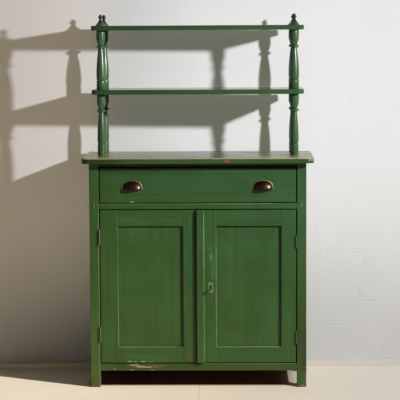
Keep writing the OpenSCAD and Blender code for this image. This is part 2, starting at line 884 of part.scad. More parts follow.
module lock_case() {
    y1 = door_y1 + case_t;
    iron() difference() {
        block([case_x0, door_y1, case_z0], [case_x0 + case_w, y1, case_z0 + case_h]);
        difference() {
            block([case_x0 + case_wall, door_y1 + case_wall, case_z0 + case_wall],
                  [case_x0 + case_w - case_wall, y1 - case_wall, case_z0 + case_h - case_wall]);
            translate([stud_x, door_y1, stud_z]) rotate([-90, 0, 0]) cylinder(d = 3, h = case_t);
        }
        block([case_x0 - 1, bolt_y - 0.4, bolt_cavity[0]],
              [case_x0 + case_wall + 1, bolt_y + bolt_t + 0.4, bolt_cavity[1]]);
        translate([lock_x, door_y1 + case_wall + 1, lock_z]) rotate([90, 0, 0])
            linear_extrude(case_wall + 2) keyhole();
        translate([lock_x, y1 - case_wall - 1, lock_z]) rotate([-90, 0, 0])
            cylinder(d = key_d + 0.16, h = case_wall + 2);
    }
}

// The bolt slides on the case's stud; the key's bit turns in the notch in its lower edge
module lock_bolt() {
    iron() difference() {
        block([bolt_x0, bolt_y, bolt_z0], [bolt_x1, bolt_y + bolt_t, bolt_z0 + bolt_h]);
        block([lock_x + bolt_throw - 2.2, bolt_y - 1, bolt_z0 - 1],
              [lock_x + bit_reach + 4, bolt_y + bolt_t + 1, lock_z + bit_reach + 1]);
        block([stud_x - 2, bolt_y - 1, stud_z - 1.8],
              [stud_x + bolt_throw + 2, bolt_y + bolt_t + 1, stud_z + 1.8]);
    }
}

// Key: a round shaft, a ring bow lying flat, and a bit that points away from the meeting edge
module key() {
    y_tip = front_y - key_out;
    ring_r = (bow_d - bow_wire_d) / 2;
    y_end = door_y1 + case_t - 0.3;
    iron() translate([lock_x, 0, lock_z]) {
        translate([0, y_tip + bow_d / 2, 0]) rotate_extrude() translate([ring_r, 0]) circle(d = bow_wire_d);
        translate([0, y_tip + bow_d - bow_wire_d, 0]) rotate([-90, 0, 0])
            cylinder(d = key_d, h = y_end - y_tip - bow_d + bow_wire_d);
        translate([0, y_tip + bow_d, 0]) rotate([-90, 0, 0]) cylinder(d = key_d + 2, h = 2);
        block([0, bolt_y - 0.6, -1.2], [bit_reach, bolt_y + bolt_t + 0.6, 1.2]);
    }
}

// Rack

module at_columns() {
    for (x = [-col_x, col_x], y = [col_y0, col_y1]) translate([x, y, 0]) children();
}

// A shelf is a plain board with its corners cut off, bored for the columns' pegs
module rack_shelf(z) {
    x1 = col_x + shelf_margin;
    x0 = x1 - shelf_chamfer;
    y0 = col_y0 - shelf_margin;
    y1 = col_y1 + shelf_margin;
    c = shelf_chamfer;
    paint() translate([0, 0, z]) linear_extrude(shelf_t) difference() {
        polygon([[-x0, y0], [x0, y0], [x1, y0 + c], [x1, y1 - c], [x0, y1], [-x0, y1], [-x1, y1 - c], [-x1, y0 + c]]);
        for (x = [-col_x, col_x], y = [col_y0, col_y1])
            translate([x, y]) circle(d = peg_d + 2 * glue_gap);
    }
}

// Points of a smooth S from [r0, z0] to [r1, z1] in n steps
function ease(r0, z0, r1, z1, n) =
    [for (i = [1 : n]) [r0 + (r1 - r0) * (1 - cos(180 * i / n)) / 2, z0 + (z1 - z0) * i / n]];

// Points of a half-round bead of height h standing on radius r at z
function bead(r, out, z, h, n) =
    [for (i = [0 : n]) [r + out * sin(180 * i / n), z + h * (1 - cos(180 * i / n)) / 2]];

// The long flare: it swells from the neck at its top to its fullest near its foot, where it turns in
function flare(r0, r1, z0, h, n) =
    [for (i = [0 : n]) let (t = i / n)
        [r1 + (r0 - r1) * sin(105 * (1 - t)) - 1.4 * pow(1 - min(1, t * 8), 2), z0 + h * t]];

// Half profile of a column from its foot to the shelf above it
function column_profile(h, block_d, flare_d, foot_ring) =
    let (drum_z = h - drum_h,
         ring_z = drum_z - ring_h,
         flare_z = ring_z - flare_h,
         block_top = flare_z - groove_w,
         rb = block_d / 2,
         rd = drum_d / 2)
    concat([[0, 0], [rb, 0]],
           foot_ring > 0 ? [[rb, foot_ring - 1.2], [rb - 1.4, foot_ring], [rb, foot_ring + 1.2]] : [],
           [[rb, block_top - 1], [rb - 1, block_top],
            [rb - turned_groove_d, block_top + groove_w * 0.4],
            [rb - turned_groove_d, block_top + groove_w * 0.8]],
           flare(flare_d / 2, neck_d / 2, flare_z, flare_h, 14),
           bead(neck_d / 2 + 1.5, ring_d / 2 - neck_d / 2 - 1.5, ring_z, ring_h, 10),
           [[waist_d / 2, drum_z]],
           ease(waist_d / 2, drum_z, rd, drum_z + drum_h * 0.45, 8),
           [[rd + 0.5, h - drum_h * 0.27], [rd, h - 1], [rd - 1, h], [0, h]]);

// A lower column has a peg at each end: one in the worktop, one up through the middle shelf
module lower_column(x, y) {
    paint() translate([x, y, top_z]) union() {
        rotate_extrude()
            polygon(column_profile(lower_col_h, lower_block_d, lower_flare_d, foot_ring_h));
        translate([0, 0, -peg_l]) cylinder(d = peg_d, h = peg_l + 1);
        translate([0, 0, lower_col_h - 1]) cylinder(d = peg_d, h = shelf_t + peg_l + 1);
    }
}

// An upper column is bored at each end: for the lower column's peg and for the finial's
module upper_column(x, y) {
    paint() translate([x, y, mid_shelf_z + shelf_t]) difference() {
        rotate_extrude() polygon(column_profile(upper_col_h, upper_block_d, upper_flare_d, 0));
        translate([0, 0, -1]) cylinder(d = peg_d + 2 * glue_gap, h = peg_l + 2);
        translate([0, 0, upper_col_h - peg_l - 1]) cylinder(d = peg_d + 2 * glue_gap, h = peg_l + 2);
    }
}

// Half profile of a finial: an ogee foot, a thin neck and an acorn with a pointed tip
function finial_profile() =
    let (rf = finial_foot_d / 2,
         rn = finial_neck_d / 2,
         collar_r = rn + 1.8,
         acorn_z = finial_h - acorn_h,
         collar_z = acorn_z - 4,
         acorn_r = acorn_d / 2)
    concat([[0, 0], [rf, 0], [rf, 1.5]],
           [for (i = [1 : 8]) let (t = i / 8)
               [collar_r + (rf - collar_r) * pow(1 - t, 1.25), 1.5 + (collar_z - 1.5) * t]],
           ease(collar_r, collar_z, rn, acorn_z - 1, 4),
           [for (i = [0 : 10]) let (a = 18 * i)
               [rn + (acorn_r - rn) * sin(a), acorn_z + acorn_h * (1 - cos(a)) / 2.6]],
           [[rn * 0.8, finial_h - 2], [rn * 0.4, finial_h - 0.5], [0, finial_h]]);

// The finial's peg passes through the top shelf into the upper column
module finial(x, y) {
    paint() translate([x, y, finial_z]) union() {
        rotate_extrude() polygon(finial_profile());
        translate([0, 0, -shelf_t - peg_l]) cylinder(d = peg_d, h = shelf_t + peg_l + 1);
    }
}

// Nodes

worktop();
front_post(-1);  // post_front_left
front_post(1);  // post_front_right
back_post(-1);  // post_back_left
back_post(1);  // post_back_right
top_front_rail();
mid_front_rail();
bottom_front_rail();
back_rail(post_h - back_rail_h);  // back_top_rail
back_rail(back_rail_z0);  // back_bottom_rail
side_panel(-1);  // side_panel_left
side_panel(1);  // side_panel_right
back_board(0);  // back_board_left
back_board(1);  // back_board_middle
back_board(2);  // back_board_right
cupboard_floor();
inner_shelf();
drawer_runner(-1);  // drawer_runner_left
drawer_runner(1);  // drawer_runner_right
drawer_front();
drawer_side(-1);  // drawer_side_left
drawer_side(1);  // drawer_side_right
drawer_back();
drawer_bottom();
cup_pull(-1);  // cup_pull_left
cup_pull(1);  // cup_pull_right
left_door_hinge_stile();
left_door_meeting_stile();
left_door_top_rail();
left_door_bottom_rail();
left_door_panel();
right_door_hinge_stile();
right_door_meeting_stile();
right_door_top_rail();
right_door_bottom_rail();
right_door_panel();
meeting_strip();
hinge_fixed_leaves(-1, left_hinges, left_hinge_l);  // left_hinge_fixed_leaves
hinge_door_leaves(-1, left_hinges, left_hinge_l);  // left_hinge_door_leaves
hinge_fixed_leaves(1, right_hinges, right_hinge_l);  // right_hinge_fixed_leaves
hinge_door_leaves(1, right_hinges, right_hinge_l);  // right_hinge_door_leaves
hinge_pins();
lock_case();
lock_bolt();
escutcheon();
key();
lower_column(-col_x, col_y0);  // lower_column_front_left
lower_column(col_x, col_y0);  // lower_column_front_right
lower_column(-col_x, col_y1);  // lower_column_back_left
lower_column(col_x, col_y1);  // lower_column_back_right
rack_shelf(mid_shelf_z);  // middle_shelf
upper_column(-col_x, col_y0);  // upper_column_front_left
upper_column(col_x, col_y0);  // upper_column_front_right
upper_column(-col_x, col_y1);  // upper_column_back_left
upper_column(col_x, col_y1);  // upper_column_back_right
rack_shelf(top_shelf_z);  // top_shelf
finial(-col_x, col_y0);  // finial_front_left
finial(col_x, col_y0);  // finial_front_right
finial(-col_x, col_y1);  // finial_back_left
finial(col_x, col_y1);  // finial_back_right
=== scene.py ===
import math

import bmesh
import bpy
from mathutils import Matrix, Vector, noise


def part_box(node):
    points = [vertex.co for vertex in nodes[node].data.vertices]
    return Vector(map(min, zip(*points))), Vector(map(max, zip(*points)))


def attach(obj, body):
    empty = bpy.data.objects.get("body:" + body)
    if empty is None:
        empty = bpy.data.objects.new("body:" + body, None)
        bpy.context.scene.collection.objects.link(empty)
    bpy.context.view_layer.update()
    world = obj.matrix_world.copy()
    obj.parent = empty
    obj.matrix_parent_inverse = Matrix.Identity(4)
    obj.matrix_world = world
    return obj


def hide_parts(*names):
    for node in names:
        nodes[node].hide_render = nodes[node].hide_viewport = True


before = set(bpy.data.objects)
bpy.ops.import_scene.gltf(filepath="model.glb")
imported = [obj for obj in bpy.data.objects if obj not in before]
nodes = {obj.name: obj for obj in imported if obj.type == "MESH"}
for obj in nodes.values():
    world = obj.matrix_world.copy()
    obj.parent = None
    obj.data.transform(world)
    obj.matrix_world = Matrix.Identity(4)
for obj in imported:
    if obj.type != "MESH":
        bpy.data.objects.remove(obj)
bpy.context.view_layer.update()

print("frame loaded:", len(nodes), "nodes")


# Camera and lamps

view = {
    "place": (0.17581, -7.642, 1.51985),
    "yaw": 0.02221,
    "pitch": -0.0957,
    "roll": -0.00539,
    "focal": 159.504,  # mm on the sensor
    "sensor": 36,
    "far": 60,
}

lamps = {
    "key lamp": {"place": (1.944, -1.553, 1.905), "aim": (0.0, 0.1, 0.85), "size": 0.11, "power": 13.8,
        "spread": 180},
    "back lamp": {"place": (0.0, 3.0, 0.75), "aim": (0, 0.2, 0.5), "size": 0.5, "power": 0.06,
        "spread": 22},
}


def lookMatrix(place, forward, roll=0.0):
    forward = Vector(forward).normalized()
    right = forward.cross(Vector((0, 0, 1))).normalized()
    up = right.cross(forward)
    x = right * math.cos(roll) + up * math.sin(roll)
    y = up * math.cos(roll) - right * math.sin(roll)
    turn = Matrix((x, y, -forward)).transposed().to_4x4()
    return Matrix.Translation(place) @ turn


bpy.context.scene.view_settings.view_transform = "Standard"


def put(name, data):
    made = bpy.data.objects.new(name, data)
    bpy.context.collection.objects.link(made)
    return made


def addCamera():
    c, s = math.cos, math.sin
    yaw, pitch = view["yaw"], view["pitch"]
    data = bpy.data.cameras.new("camera")
    data.sensor_fit = "HORIZONTAL"
    data.sensor_width = view["sensor"]
    data.lens = view["focal"]
    data.clip_end = view["far"]
    camera = put("camera", data)
    forward = (-s(yaw) * c(pitch), c(yaw) * c(pitch), s(pitch))
    camera.matrix_world = lookMatrix(view["place"], forward, view["roll"])
    bpy.context.scene.camera = camera


def addLamp(name, place, aim, size, power, spread):
    # The light is as strong far off as near by, as from a big lamp a long way away
    data = bpy.data.lights.new(name, "AREA")
    data.shape = "DISK"
    data.size = size
    data.energy = power
    data.spread = math.radians(spread)
    data.use_nodes = True
    tree = data.node_tree
    falloff = tree.nodes.new("ShaderNodeLightFalloff")
    falloff.inputs["Strength"].default_value = 1
    tree.links.new(falloff.outputs["Constant"], tree.nodes["Emission"].inputs["Strength"])
    put(name, data).matrix_world = lookMatrix(place, Vector(aim) - Vector(place))


addCamera()
for lampName, lamp in lamps.items():
    addLamp(lampName, **lamp)


# Shader maths

class Wire:
    # A socket that takes part in sums; each sum adds a Math node
    def __init__(self, finish, socket):
        self.finish = finish
        self.socket = socket

    def sum(self, kind, a, b):
        return self.finish.node("Math", {"operation": kind}, {0: a, 1: b})

    def most(self, other):
        return self.sum("MAXIMUM", self, other)

    def size(self):
        return self.sum("ABSOLUTE", self, 0)

    def between(self, low, high):
        # 0 below low and 1 above high, smooth from one to the other; low above high turns it over
        return self.finish.node("MapRange", {"interpolation_type": "SMOOTHSTEP"},
                                {"Value": self, "From Min": low, "From Max": high})


def addSum(name, kind):
    setattr(Wire, "__%s__" % name, lambda self, other: self.sum(kind, self, other))
    setattr(Wire, "__r%s__" % name, lambda self, other: self.sum(kind, other, self))


for pair in (("add", "ADD"), ("sub", "SUBTRACT"), ("mul", "MULTIPLY"), ("truediv", "DIVIDE"),
             ("pow", "POWER")):
    addSum(*pair)


class Finish:
    # A material under construction
    def __init__(self, name):
        self.material = bpy.data.materials.new(name)
        self.material.use_nodes = True
        self.tree = self.material.node_tree
        self.tree.nodes.clear()
        self.output = self.tree.nodes.new("ShaderNodeOutputMaterial")
        self.at = None

    def node(self, kind, settings=None, sockets=None, out=0):
        made = self.tree.nodes.new("ShaderNode" + kind)
        for key, value in (settings or {}).items():
            if key == "stops":
                self.setStops(made.color_ramp, value)
            else:
                setattr(made, key, value)
        for key, value in (sockets or {}).items():
            if isinstance(value, Wire):
                self.tree.links.new(value.socket, made.inputs[key])
            else:
                made.inputs[key].default_value = value
        return Wire(self, made.outputs[out])

    def setStops(self, ramp, stops):
        while len(ramp.elements) < len(stops):
            ramp.elements.new(0.5)
        for element, (place, colour) in zip(ramp.elements, stops):
            element.position = place
            element.color = (*colour, 1)

    def place(self):
        # Object coordinates are metres in the shared frame, where every piece has its origin
        if self.at is None:
            self.at = self.node("TexCoord", {}, {}, "Object")
        return self.at

    def axis(self, name):
        return self.node("SeparateXYZ", {}, {0: self.place()}, name)

    def within(self, spans):
        # 1 where every axis named is past its span from low to high, 0 before any of them
        inside = 1.0
        for name, low, high in spans:
            inside = self.axis(name).between(low, high) * inside
        return inside

    def noise(self, scale, detail=3.0, roughness=0.55, shift=(0, 0, 0), distortion=0.0):
        if not isinstance(scale, tuple):
            scale = (scale, scale, scale)
        moved = self.node("VectorMath", {"operation": "ADD"}, {0: self.place(), 1: shift})
        scaled = self.node("VectorMath", {"operation": "MULTIPLY"}, {0: moved, 1: scale})
        return self.node("TexNoise", {"noise_dimensions": "3D"},
                         {"Vector": scaled, "Scale": 1.0, "Detail": detail,
                          "Roughness": roughness, "Distortion": distortion}, "Fac")

    def wear(self):
        return self.node("Attribute", {"attribute_name": "arris"}, {}, "Fac")

    def ramp(self, factor, stops):
        return self.node("ValToRGB", {"stops": stops}, {"Fac": factor}, "Color")

    def mix(self, factor, a, b):
        a = a if isinstance(a, Wire) else (*a, 1)
        b = b if isinstance(b, Wire) else (*b, 1)
        return self.node("Mix", {"data_type": "RGBA", "clamp_factor": True}, {0: factor, 6: a, 7: b}, 2)

    def bump(self, height, depth):
        return self.node("Bump", {}, {"Height": height, "Distance": depth, "Strength": 1.0}, "Normal")

    def near(self, x, z, wide, high, ragged, grain):
        # 1 inside a ragged oval patch seen from the front, 0 outside it
        dx = (self.axis("X") - x) / wide
        dz = (self.axis("Z") - z) / high
        away = (dx * dx + dz * dz) ** 0.5 + (self.noise(grain, 3) - 0.5) * ragged * 2
        return away.between(1.1, 0.75)

    def line(self, name, at, half):
        # 1 within half of the place at along one axis
        return (self.axis(name) - at).size().between(half * 1.4, half * 0.6)

    def surface(self, **sockets):
        named = {key.replace("_", " "): value for key, value in sockets.items()}
        shader = self.node("BsdfPrincipled", {}, named)
        self.tree.links.new(shader.socket, self.output.inputs["Surface"])
        return self.material


def drawn(along, lengthwise, across):
    # Noise scales for marks drawn out along one axis
    return tuple(lengthwise if axis == along else across for axis in "xyz")


# Green paint

paint = {
    "deep": (0.013, 0.052, 0.009),
    "plain": (0.027, 0.083, 0.0165),
    "pale": (0.044, 0.118, 0.027),
    "cool": (0.036, 0.107, 0.046),  # high and to the right, where the paint looks bluer: a painted cool sheen of the lamp's light
    "warm": (0.041, 0.089, 0.011),  # low and to the left
    "haze": (0.075, 0.1, 0.066),
    "hazeShare": 0.14,
    "rubbed": (0.17, 0.235, 0.095),  # thin pale paint along an arris
    "ochre": (0.42, 0.29, 0.115),  # old undercoat shown where the green is rubbed through
    "rust": (0.125, 0.042, 0.018),  # bare, darkened wood in deep chips
    "crack": (0.006, 0.012, 0.004),
    "brushRun": (2.0, 110),  # noise scale along the brush and across it
    "bristleRun": (9, 420),
    "thin": (0.95, 1.35),  # wear at which the paint thins, and at which it is gone
    "gone": (1.4, 1.52),
    "rough": 0.36,
    "hazyRough": 0.45,
    "smoothest": 0.12,
    "shine": 0.4,
    "relief": 0.0002,
}


def green(where, along, marks=None, gloss=0.0, wear=1.0, dull=0.0):
    # along is the axis the brush followed, dull is how far the paint has greyed
    f = Finish("green paint " + where)
    cloud = f.noise(5.5, 3, 0.6)
    streaks = f.noise(drawn(along, *paint["brushRun"]), 4, 0.6)
    bristles = f.noise(drawn(along, *paint["bristleRun"]), 3, 0.6)
    colour = f.ramp(cloud * 0.45 + streaks * 0.55,
                    [(0.36, paint["deep"]), (0.5, paint["plain"]), (0.64, paint["pale"])])
    # Painted cool sheen high and to the right, towards the lamp, passing into the warm tone low and to the
    # left
    high = (f.axis("X") * 0.35 + f.axis("Z") * 0.55 + (cloud - 0.5) * 0.8).between(0.0, 0.75)
    colour = f.mix(0.5, colour, f.mix(high, paint["warm"], paint["cool"]))
    haze = f.noise(17, 4, 0.65, (3, 1, 7)).between(0.52, 0.75)
    colour = f.mix(haze * paint["hazeShare"] + dull, colour, paint["haze"])
    rub = f.wear() + (f.noise(26, 5, 0.7, (11, 4, 2)) - 0.5) * 1.1
    worn = rub.between(*paint["gone"]) * wear
    colour = f.mix(rub.between(*paint["thin"]) * 0.8 * wear, colour, paint["rubbed"])
    colour = f.mix(worn, colour, paint["ochre"])
    chip = f.noise(75, 4, 0.6, (5, 9, 1)).between(0.735, 0.755)
    chip = chip * f.noise(7, 2, 0.5, (2, 2, 8)).between(0.5, 0.6) * wear
    colour = f.mix(chip, colour, paint["rust"])
    bare = worn.most(chip)
    for mark, *details in (marks or {}).values():
        colour, bare = mark(f, colour, bare, *details)
    rough = paint["rough"] - gloss + haze * (paint["hazyRough"] - paint["rough"]) + (bristles - 0.5) * 0.12
    rough = (rough + bare * 0.25).most(paint["smoothest"])
    height = bristles * 0.35 + streaks * 0.8 + f.noise(9, 2) * 0.6 - bare * 0.9
    return f.surface(Base_Color=colour, Roughness=rough, Normal=f.bump(height, paint["relief"]),
                     Specular_IOR_Level=paint["shine"])


# Marks seen in one place only, each a function with what it needs. It takes the paint's colour and how bare
# it is, and gives both back. A place is (x, z, half width, half height) of a ragged oval, in metres.

def tint(f, colour, bare, places, tone, ragged, grain, strength):
    # A change of colour in paint that is still whole, which some marks use for painted light
    for place in places:
        colour = f.mix(f.near(*place, ragged, grain) * strength, colour, tone)
    return colour, bare


def patch(f, colour, bare, places, tone, ragged, grain, strength=1.0, within=()):
    # Places where the paint is gone
    reach = f.within(within) * strength
    for place in places:
        gone = f.near(*place, ragged, grain) * reach
        colour = f.mix(gone, colour, tone)
        bare = bare.most(gone)
    return colour, bare


def wearAndHighlightLine(f, colour, bare, axis, at, low, high, tone, strength, half=0.0014):
    # A thin broken line along an arris, between low and high on the other axis: wear, and where the arris
    # faces the lamp also a painted highlight
    along = f.axis("Z" if axis == "X" else "X")
    reach = along.between(low - 0.01, low + 0.01) * along.between(high + 0.01, high - 0.01)
    broken = f.noise(38, 4, 0.7, (7, 2, 5)).between(0.28, 0.5)
    amount = f.line(axis, at, half) * reach * broken * strength
    return f.mix(amount, colour, tone), bare.most(amount * 0.5)


def shade(f, colour, bare, spans, tone, strength):
    # A darkening that comes on from low to high along each axis in spans, or all over if there is none:
    # painted shade in some marks, dirt and varnish in others
    return f.mix(f.within(spans) * strength, colour, tone), bare


postFront = [("Y", -0.166, -0.175)]

postFace = {
    "dovetail": 0.4464,  # how far from the middle the mid rail's dovetails end
    "rail": [("Z", 0.7675, 0.7695), ("Z", 0.7935, 0.7915), *postFront],
    "crackHalf": 0.0024,
    "paleIn": 0.0052, "paleHalf": 0.003, "paleShare": 0.6,
    "brown": (0.029, 0.045, 0.011),
    "brownTop": (0.46, 0.2), "brownFoot": (0.02, 0.1), "brownSide": (0.41, 0.42),
}


def markDovetails(f, colour, bare):
    inRail = f.within(postFace["rail"])
    for side in (-1, 1):
        end = postFace["dovetail"]
        pale = f.line("X", side * (end - postFace["paleIn"]), postFace["paleHalf"])
        colour = f.mix(pale * inRail * postFace["paleShare"], colour, paint["rubbed"])
        colour = f.mix(f.line("X", side * end, postFace["crackHalf"]) * inRail, colour, paint["crack"])
    return colour, bare


def markRightPost(f, colour, bare):
    # Streaks of brown low on the right-hand posts
    low = f.axis("Z") + (f.noise(9, 3) - 0.5) * 0.2
    brown = low.between(*postFace["brownTop"]) * low.between(*postFace["brownFoot"])
    brown = brown * f.axis("X").between(*postFace["brownSide"])
    brown = brown * f.noise((140, 140, 3), 3, 0.6).between(0.28, 0.55)
    return f.mix(brown * 0.95, colour, postFace["brown"]), bare


postMarks = {
    "dovetails": (markDovetails,),
    # painted light, brighter low on the left post
    "paler left post": (tint, [(-0.442, 0.2, 0.025, 0.17)], (0.075, 0.118, 0.026), 0.6, 14, 0.4),
    "olive left foot": (tint, [(-0.44, 0.045, 0.03, 0.05)], (0.085, 0.095, 0.02), 0.5, 60, 0.6),
    "brown right post": (markRightPost,),
    "left inner arris": (wearAndHighlightLine, "X", -0.4214, 0.0, 0.75, (0.17, 0.24, 0.11), 0.65, 0.0015),
    "left outer arris": (patch, [(-0.459, 0.52, 0.0025, 0.1), (-0.459, 0.37, 0.002, 0.05),
        (-0.44, 0.003, 0.02, 0.004)], paint["rust"], 0.8, 60, 0.8, postFront),
    "right outer arris": (patch, [(0.459, 0.55, 0.0022, 0.09), (0.4592, 0.31, 0.0018, 0.07)],
        (0.2, 0.1, 0.035), 0.8, 60, 0.9, postFront),
    "teal spot": (patch, [(0.4485, 0.7815, 0.004, 0.008)], (0.03, 0.17, 0.085), 0.6, 150, 0.8, postFront),
    "bare right foot": (patch, [(0.4575, 0.034, 0.0048, 0.03), (0.447, 0.003, 0.014, 0.0055)],
        (0.16, 0.066, 0.024), 0.8, 90, 0.9, postFront),
    "pale right foot": (patch, [(0.446, 0.0075, 0.01, 0.0022)], (0.3, 0.23, 0.1), 0.6, 150, 0.8, postFront),
}

railMarks = {
    "brown": (tint, [(0.05, 0.085, 0.5, 0.03)], (0.03, 0.052, 0.012), 0.4, 30, 0.6),
    # the rail's top arris faces the lamp: pale wear with a painted highlight
    "upper arris": (wearAndHighlightLine, "Z", 0.1008, -0.02, 0.42, (0.16, 0.17, 0.055), 0.7, 0.0016),
    "lower arris": (wearAndHighlightLine, "Z", 0.0734, -0.41, 0.36, (0.14, 0.075, 0.022), 0.7),
    "bare wood": (patch, [(-0.262, 0.0915, 0.026, 0.0045), (-0.19, 0.0895, 0.032, 0.0058),
        (-0.155, 0.092, 0.012, 0.003)], (0.18, 0.085, 0.032), 0.9, 130, 0.85),
    "pale splinters": (patch, [(-0.245, 0.0885, 0.02, 0.003), (-0.215, 0.0865, 0.016, 0.0026),
        (-0.28, 0.0962, 0.028, 0.0016), (-0.36, 0.08, 0.006, 0.0014),
        (-0.285, 0.0745, 0.012, 0.0014), (-0.2, 0.0745, 0.01, 0.0012)],
        (0.44, 0.39, 0.22), 0.9, 170, 0.9),
}

midRailMarks = {
    "arris to the left": (wearAndHighlightLine, "Z", 0.7868, -0.38, 0.02, (0.17, 0.17, 0.06), 0.5, 0.0015),
    "arris to the right": (wearAndHighlightLine, "Z", 0.7868, 0.02, 0.32, (0.28, 0.26, 0.11), 0.65, 0.0015),
}

topRailMarks = {
    # painted shade under the worktop's overhang, over old brown varnish
    "painted shade and old brown varnish": (shade, [], (0.02, 0.012, 0.004), 0.75),
}

panelFace = {
    "knots": (tint, [(-0.3135, 0.283, 0.004, 0.005), (-0.227, 0.213, 0.003, 0.004),
        (-0.2915, 0.24, 0.003, 0.003)], (0.01, 0.03, 0.01), 0.6, 200, 0.9),
    # painted shade in the corners of the panels' recesses
    "darkening": (0.007, 0.022, 0.003),
    "shadowBeside": (0.019, 0.01),  # from the stile
    "shadowUnder": (0.682, 0.689),
    # pale of the arrises that face the lamp, wear with a painted highlight
    "rubbed": (0.18, 0.26, 0.115),
    "arrisX": -0.3402,  # left and lower arrises of the frame round the left panel
    "arrisZ": 0.1732,
}


def shadeCorners(f, colour, bare, right):
    # Painted shade in the corners under the upper rail and beside the stile at x = right, where the frame's
    # shadow falls on the panel
    beside = f.axis("X").between(*[right - away for away in panelFace["shadowBeside"]])
    corner = beside.most(f.axis("Z").between(*panelFace["shadowUnder"]))
    return f.mix(corner * 0.6, colour, panelFace["darkening"]), bare


def panelMarks(right):
    return {"darkening": (shadeCorners, right), "knots": panelFace["knots"]}


leftDoorMarks = {
    # painted shadow that the meeting strip throws on the left door's stile
    "painted shadow of the strip": (shade, [("X", -0.0185, -0.0145)], (0.009, 0.016, 0.003), 0.75),
    "smear": (tint, [(-0.245, 0.133, 0.05, 0.009), (-0.19, 0.12, 0.04, 0.006)],
        (0.032, 0.105, 0.036), 0.6, 60, 0.5),
    "stain": (tint, [(-0.352, 0.155, 0.006, 0.03), (-0.036, 0.128, 0.012, 0.03)],
        (0.1, 0.062, 0.02), 0.7, 80, 0.4),
    "teal": (tint, [(-0.036, 0.56, 0.016, 0.16), (-0.03, 0.43, 0.01, 0.08)],
        (0.018, 0.085, 0.034), 0.7, 30, 0.4),
    "knots": panelFace["knots"],
    "crack": (patch, [(-0.3492, 0.176, 0.0011, 0.026), (-0.3505, 0.13, 0.001, 0.022)],
        (0.05, 0.022, 0.008), 0.8, 160),
    # the arrises left of and under the panel face the lamp: pale wear with a painted highlight
    "left arris": (wearAndHighlightLine, "X", panelFace["arrisX"], 0.17, 0.69, panelFace["rubbed"], 0.2),
    "left arris, low": (wearAndHighlightLine, "X", panelFace["arrisX"], 0.17, 0.42, panelFace["rubbed"], 0.5),
    "lower arris": (wearAndHighlightLine, "Z", panelFace["arrisZ"], panelFace["arrisX"], -0.1,
        panelFace["rubbed"], 0.7),
    "flecks": (patch, [(-0.292, 0.1112, 0.011, 0.003), (-0.268, 0.109, 0.007, 0.002),
        (-0.235, 0.1105, 0.012, 0.0026), (-0.2, 0.108, 0.008, 0.002)],
        (0.22, 0.36, 0.17), 0.9, 170),
}

lockMarks = {
    "blotches": (tint, [(0.056, 0.566, 0.013, 0.012), (0.061, 0.545, 0.012, 0.02),
        (0.052, 0.592, 0.008, 0.01), (0.064, 0.5, 0.009, 0.05)],
        (0.05, 0.135, 0.043), 0.9, 110, 0.8),
    # the arris left of the panel faces the lamp: pale wear with a painted highlight
    "panel's arris": (wearAndHighlightLine, "X", 0.0774, 0.17, 0.6, (0.17, 0.26, 0.12), 0.65),
    "dots": (patch, [(0.055, 0.556, 0.004, 0.006), (0.0595, 0.572, 0.003, 0.005)],
        (0.16, 0.24, 0.14), 0.9, 200, 0.8),
}

rightRailMarks = {
    "darkening": (shade, [], (0.022, 0.052, 0.011), 0.25),
    # the rail's top arris under the panel faces the lamp: pale wear with a painted highlight
    "upper arris": (wearAndHighlightLine, "Z", panelFace["arrisZ"], 0.078, 0.35, (0.17, 0.26, 0.12), 0.75),
}

stripMarks = {
    # the strip's right-hand arris faces the lamp: pale wear with a painted highlight
    "arris": (wearAndHighlightLine, "X", 0.0256, 0.11, 0.75, (0.17, 0.26, 0.12), 0.5, 0.0012),
    "arris, high": (wearAndHighlightLine, "X", 0.0252, 0.52, 0.735, (0.22, 0.3, 0.14), 0.5),
}

drawerMarks = {
    "haze": (tint, [(0.0, 0.87, 0.33, 0.045)], (0.032, 0.092, 0.032), 0.5, 14, 0.4),
    "streak": (tint, [(-0.02, 0.8165, 0.16, 0.0055), (-0.17, 0.8145, 0.05, 0.006)],
        (0.055, 0.094, 0.008), 0.6, 40, 0.4),
    # painted shadow of the worktop along the drawer's top, deeper and softer to the left
    "grimeAndShade": (shade, [("Z", 0.9285, 0.9325)], (0.012, 0.013, 0.004), 0.8),
    "painted shadow at the top left": (shade, [("Z", 0.885, 0.94), ("X", 0.15, -0.4)], (0.012, 0.03, 0.01), 0.55),
    "chip": (patch, [(-0.28, 0.7955, 0.01, 0.0028)], (0.36, 0.36, 0.17), 0.7, 150),
}

topFace = {
    "line": (0.46, 0.37, 0.19), "lineSpan": (0.5, 0.95), "lineZ": (0.975, 0.981),
    "bleachAndSheen": (0.4, 0.37, 0.21), "bleachAndSheenSpan": (0.66, 0.86), "bleachAndSheenZ": (0.9795, 0.9825),
    "ends": (0.05, 0.5), "endsMore": 0.1,
    "front": (-0.1, -0.215), "frontMore": 0.08,
}


def wearAndHighlightFrontArris(f, colour, bare):
    # The front top arris is rubbed pale along its whole length, with a painted highlight that grows to the
    # right, towards the lamp
    rub = f.wear() * (0.95 + f.axis("X") * 0.35) + (f.noise((30, 90, 90), 4, 0.6) - 0.5) * 0.7
    line = rub.between(*topFace["lineSpan"]) * f.axis("Z").between(*topFace["lineZ"])
    return f.mix(line * 0.85, colour, topFace["line"]), bare.most(line * 0.5)


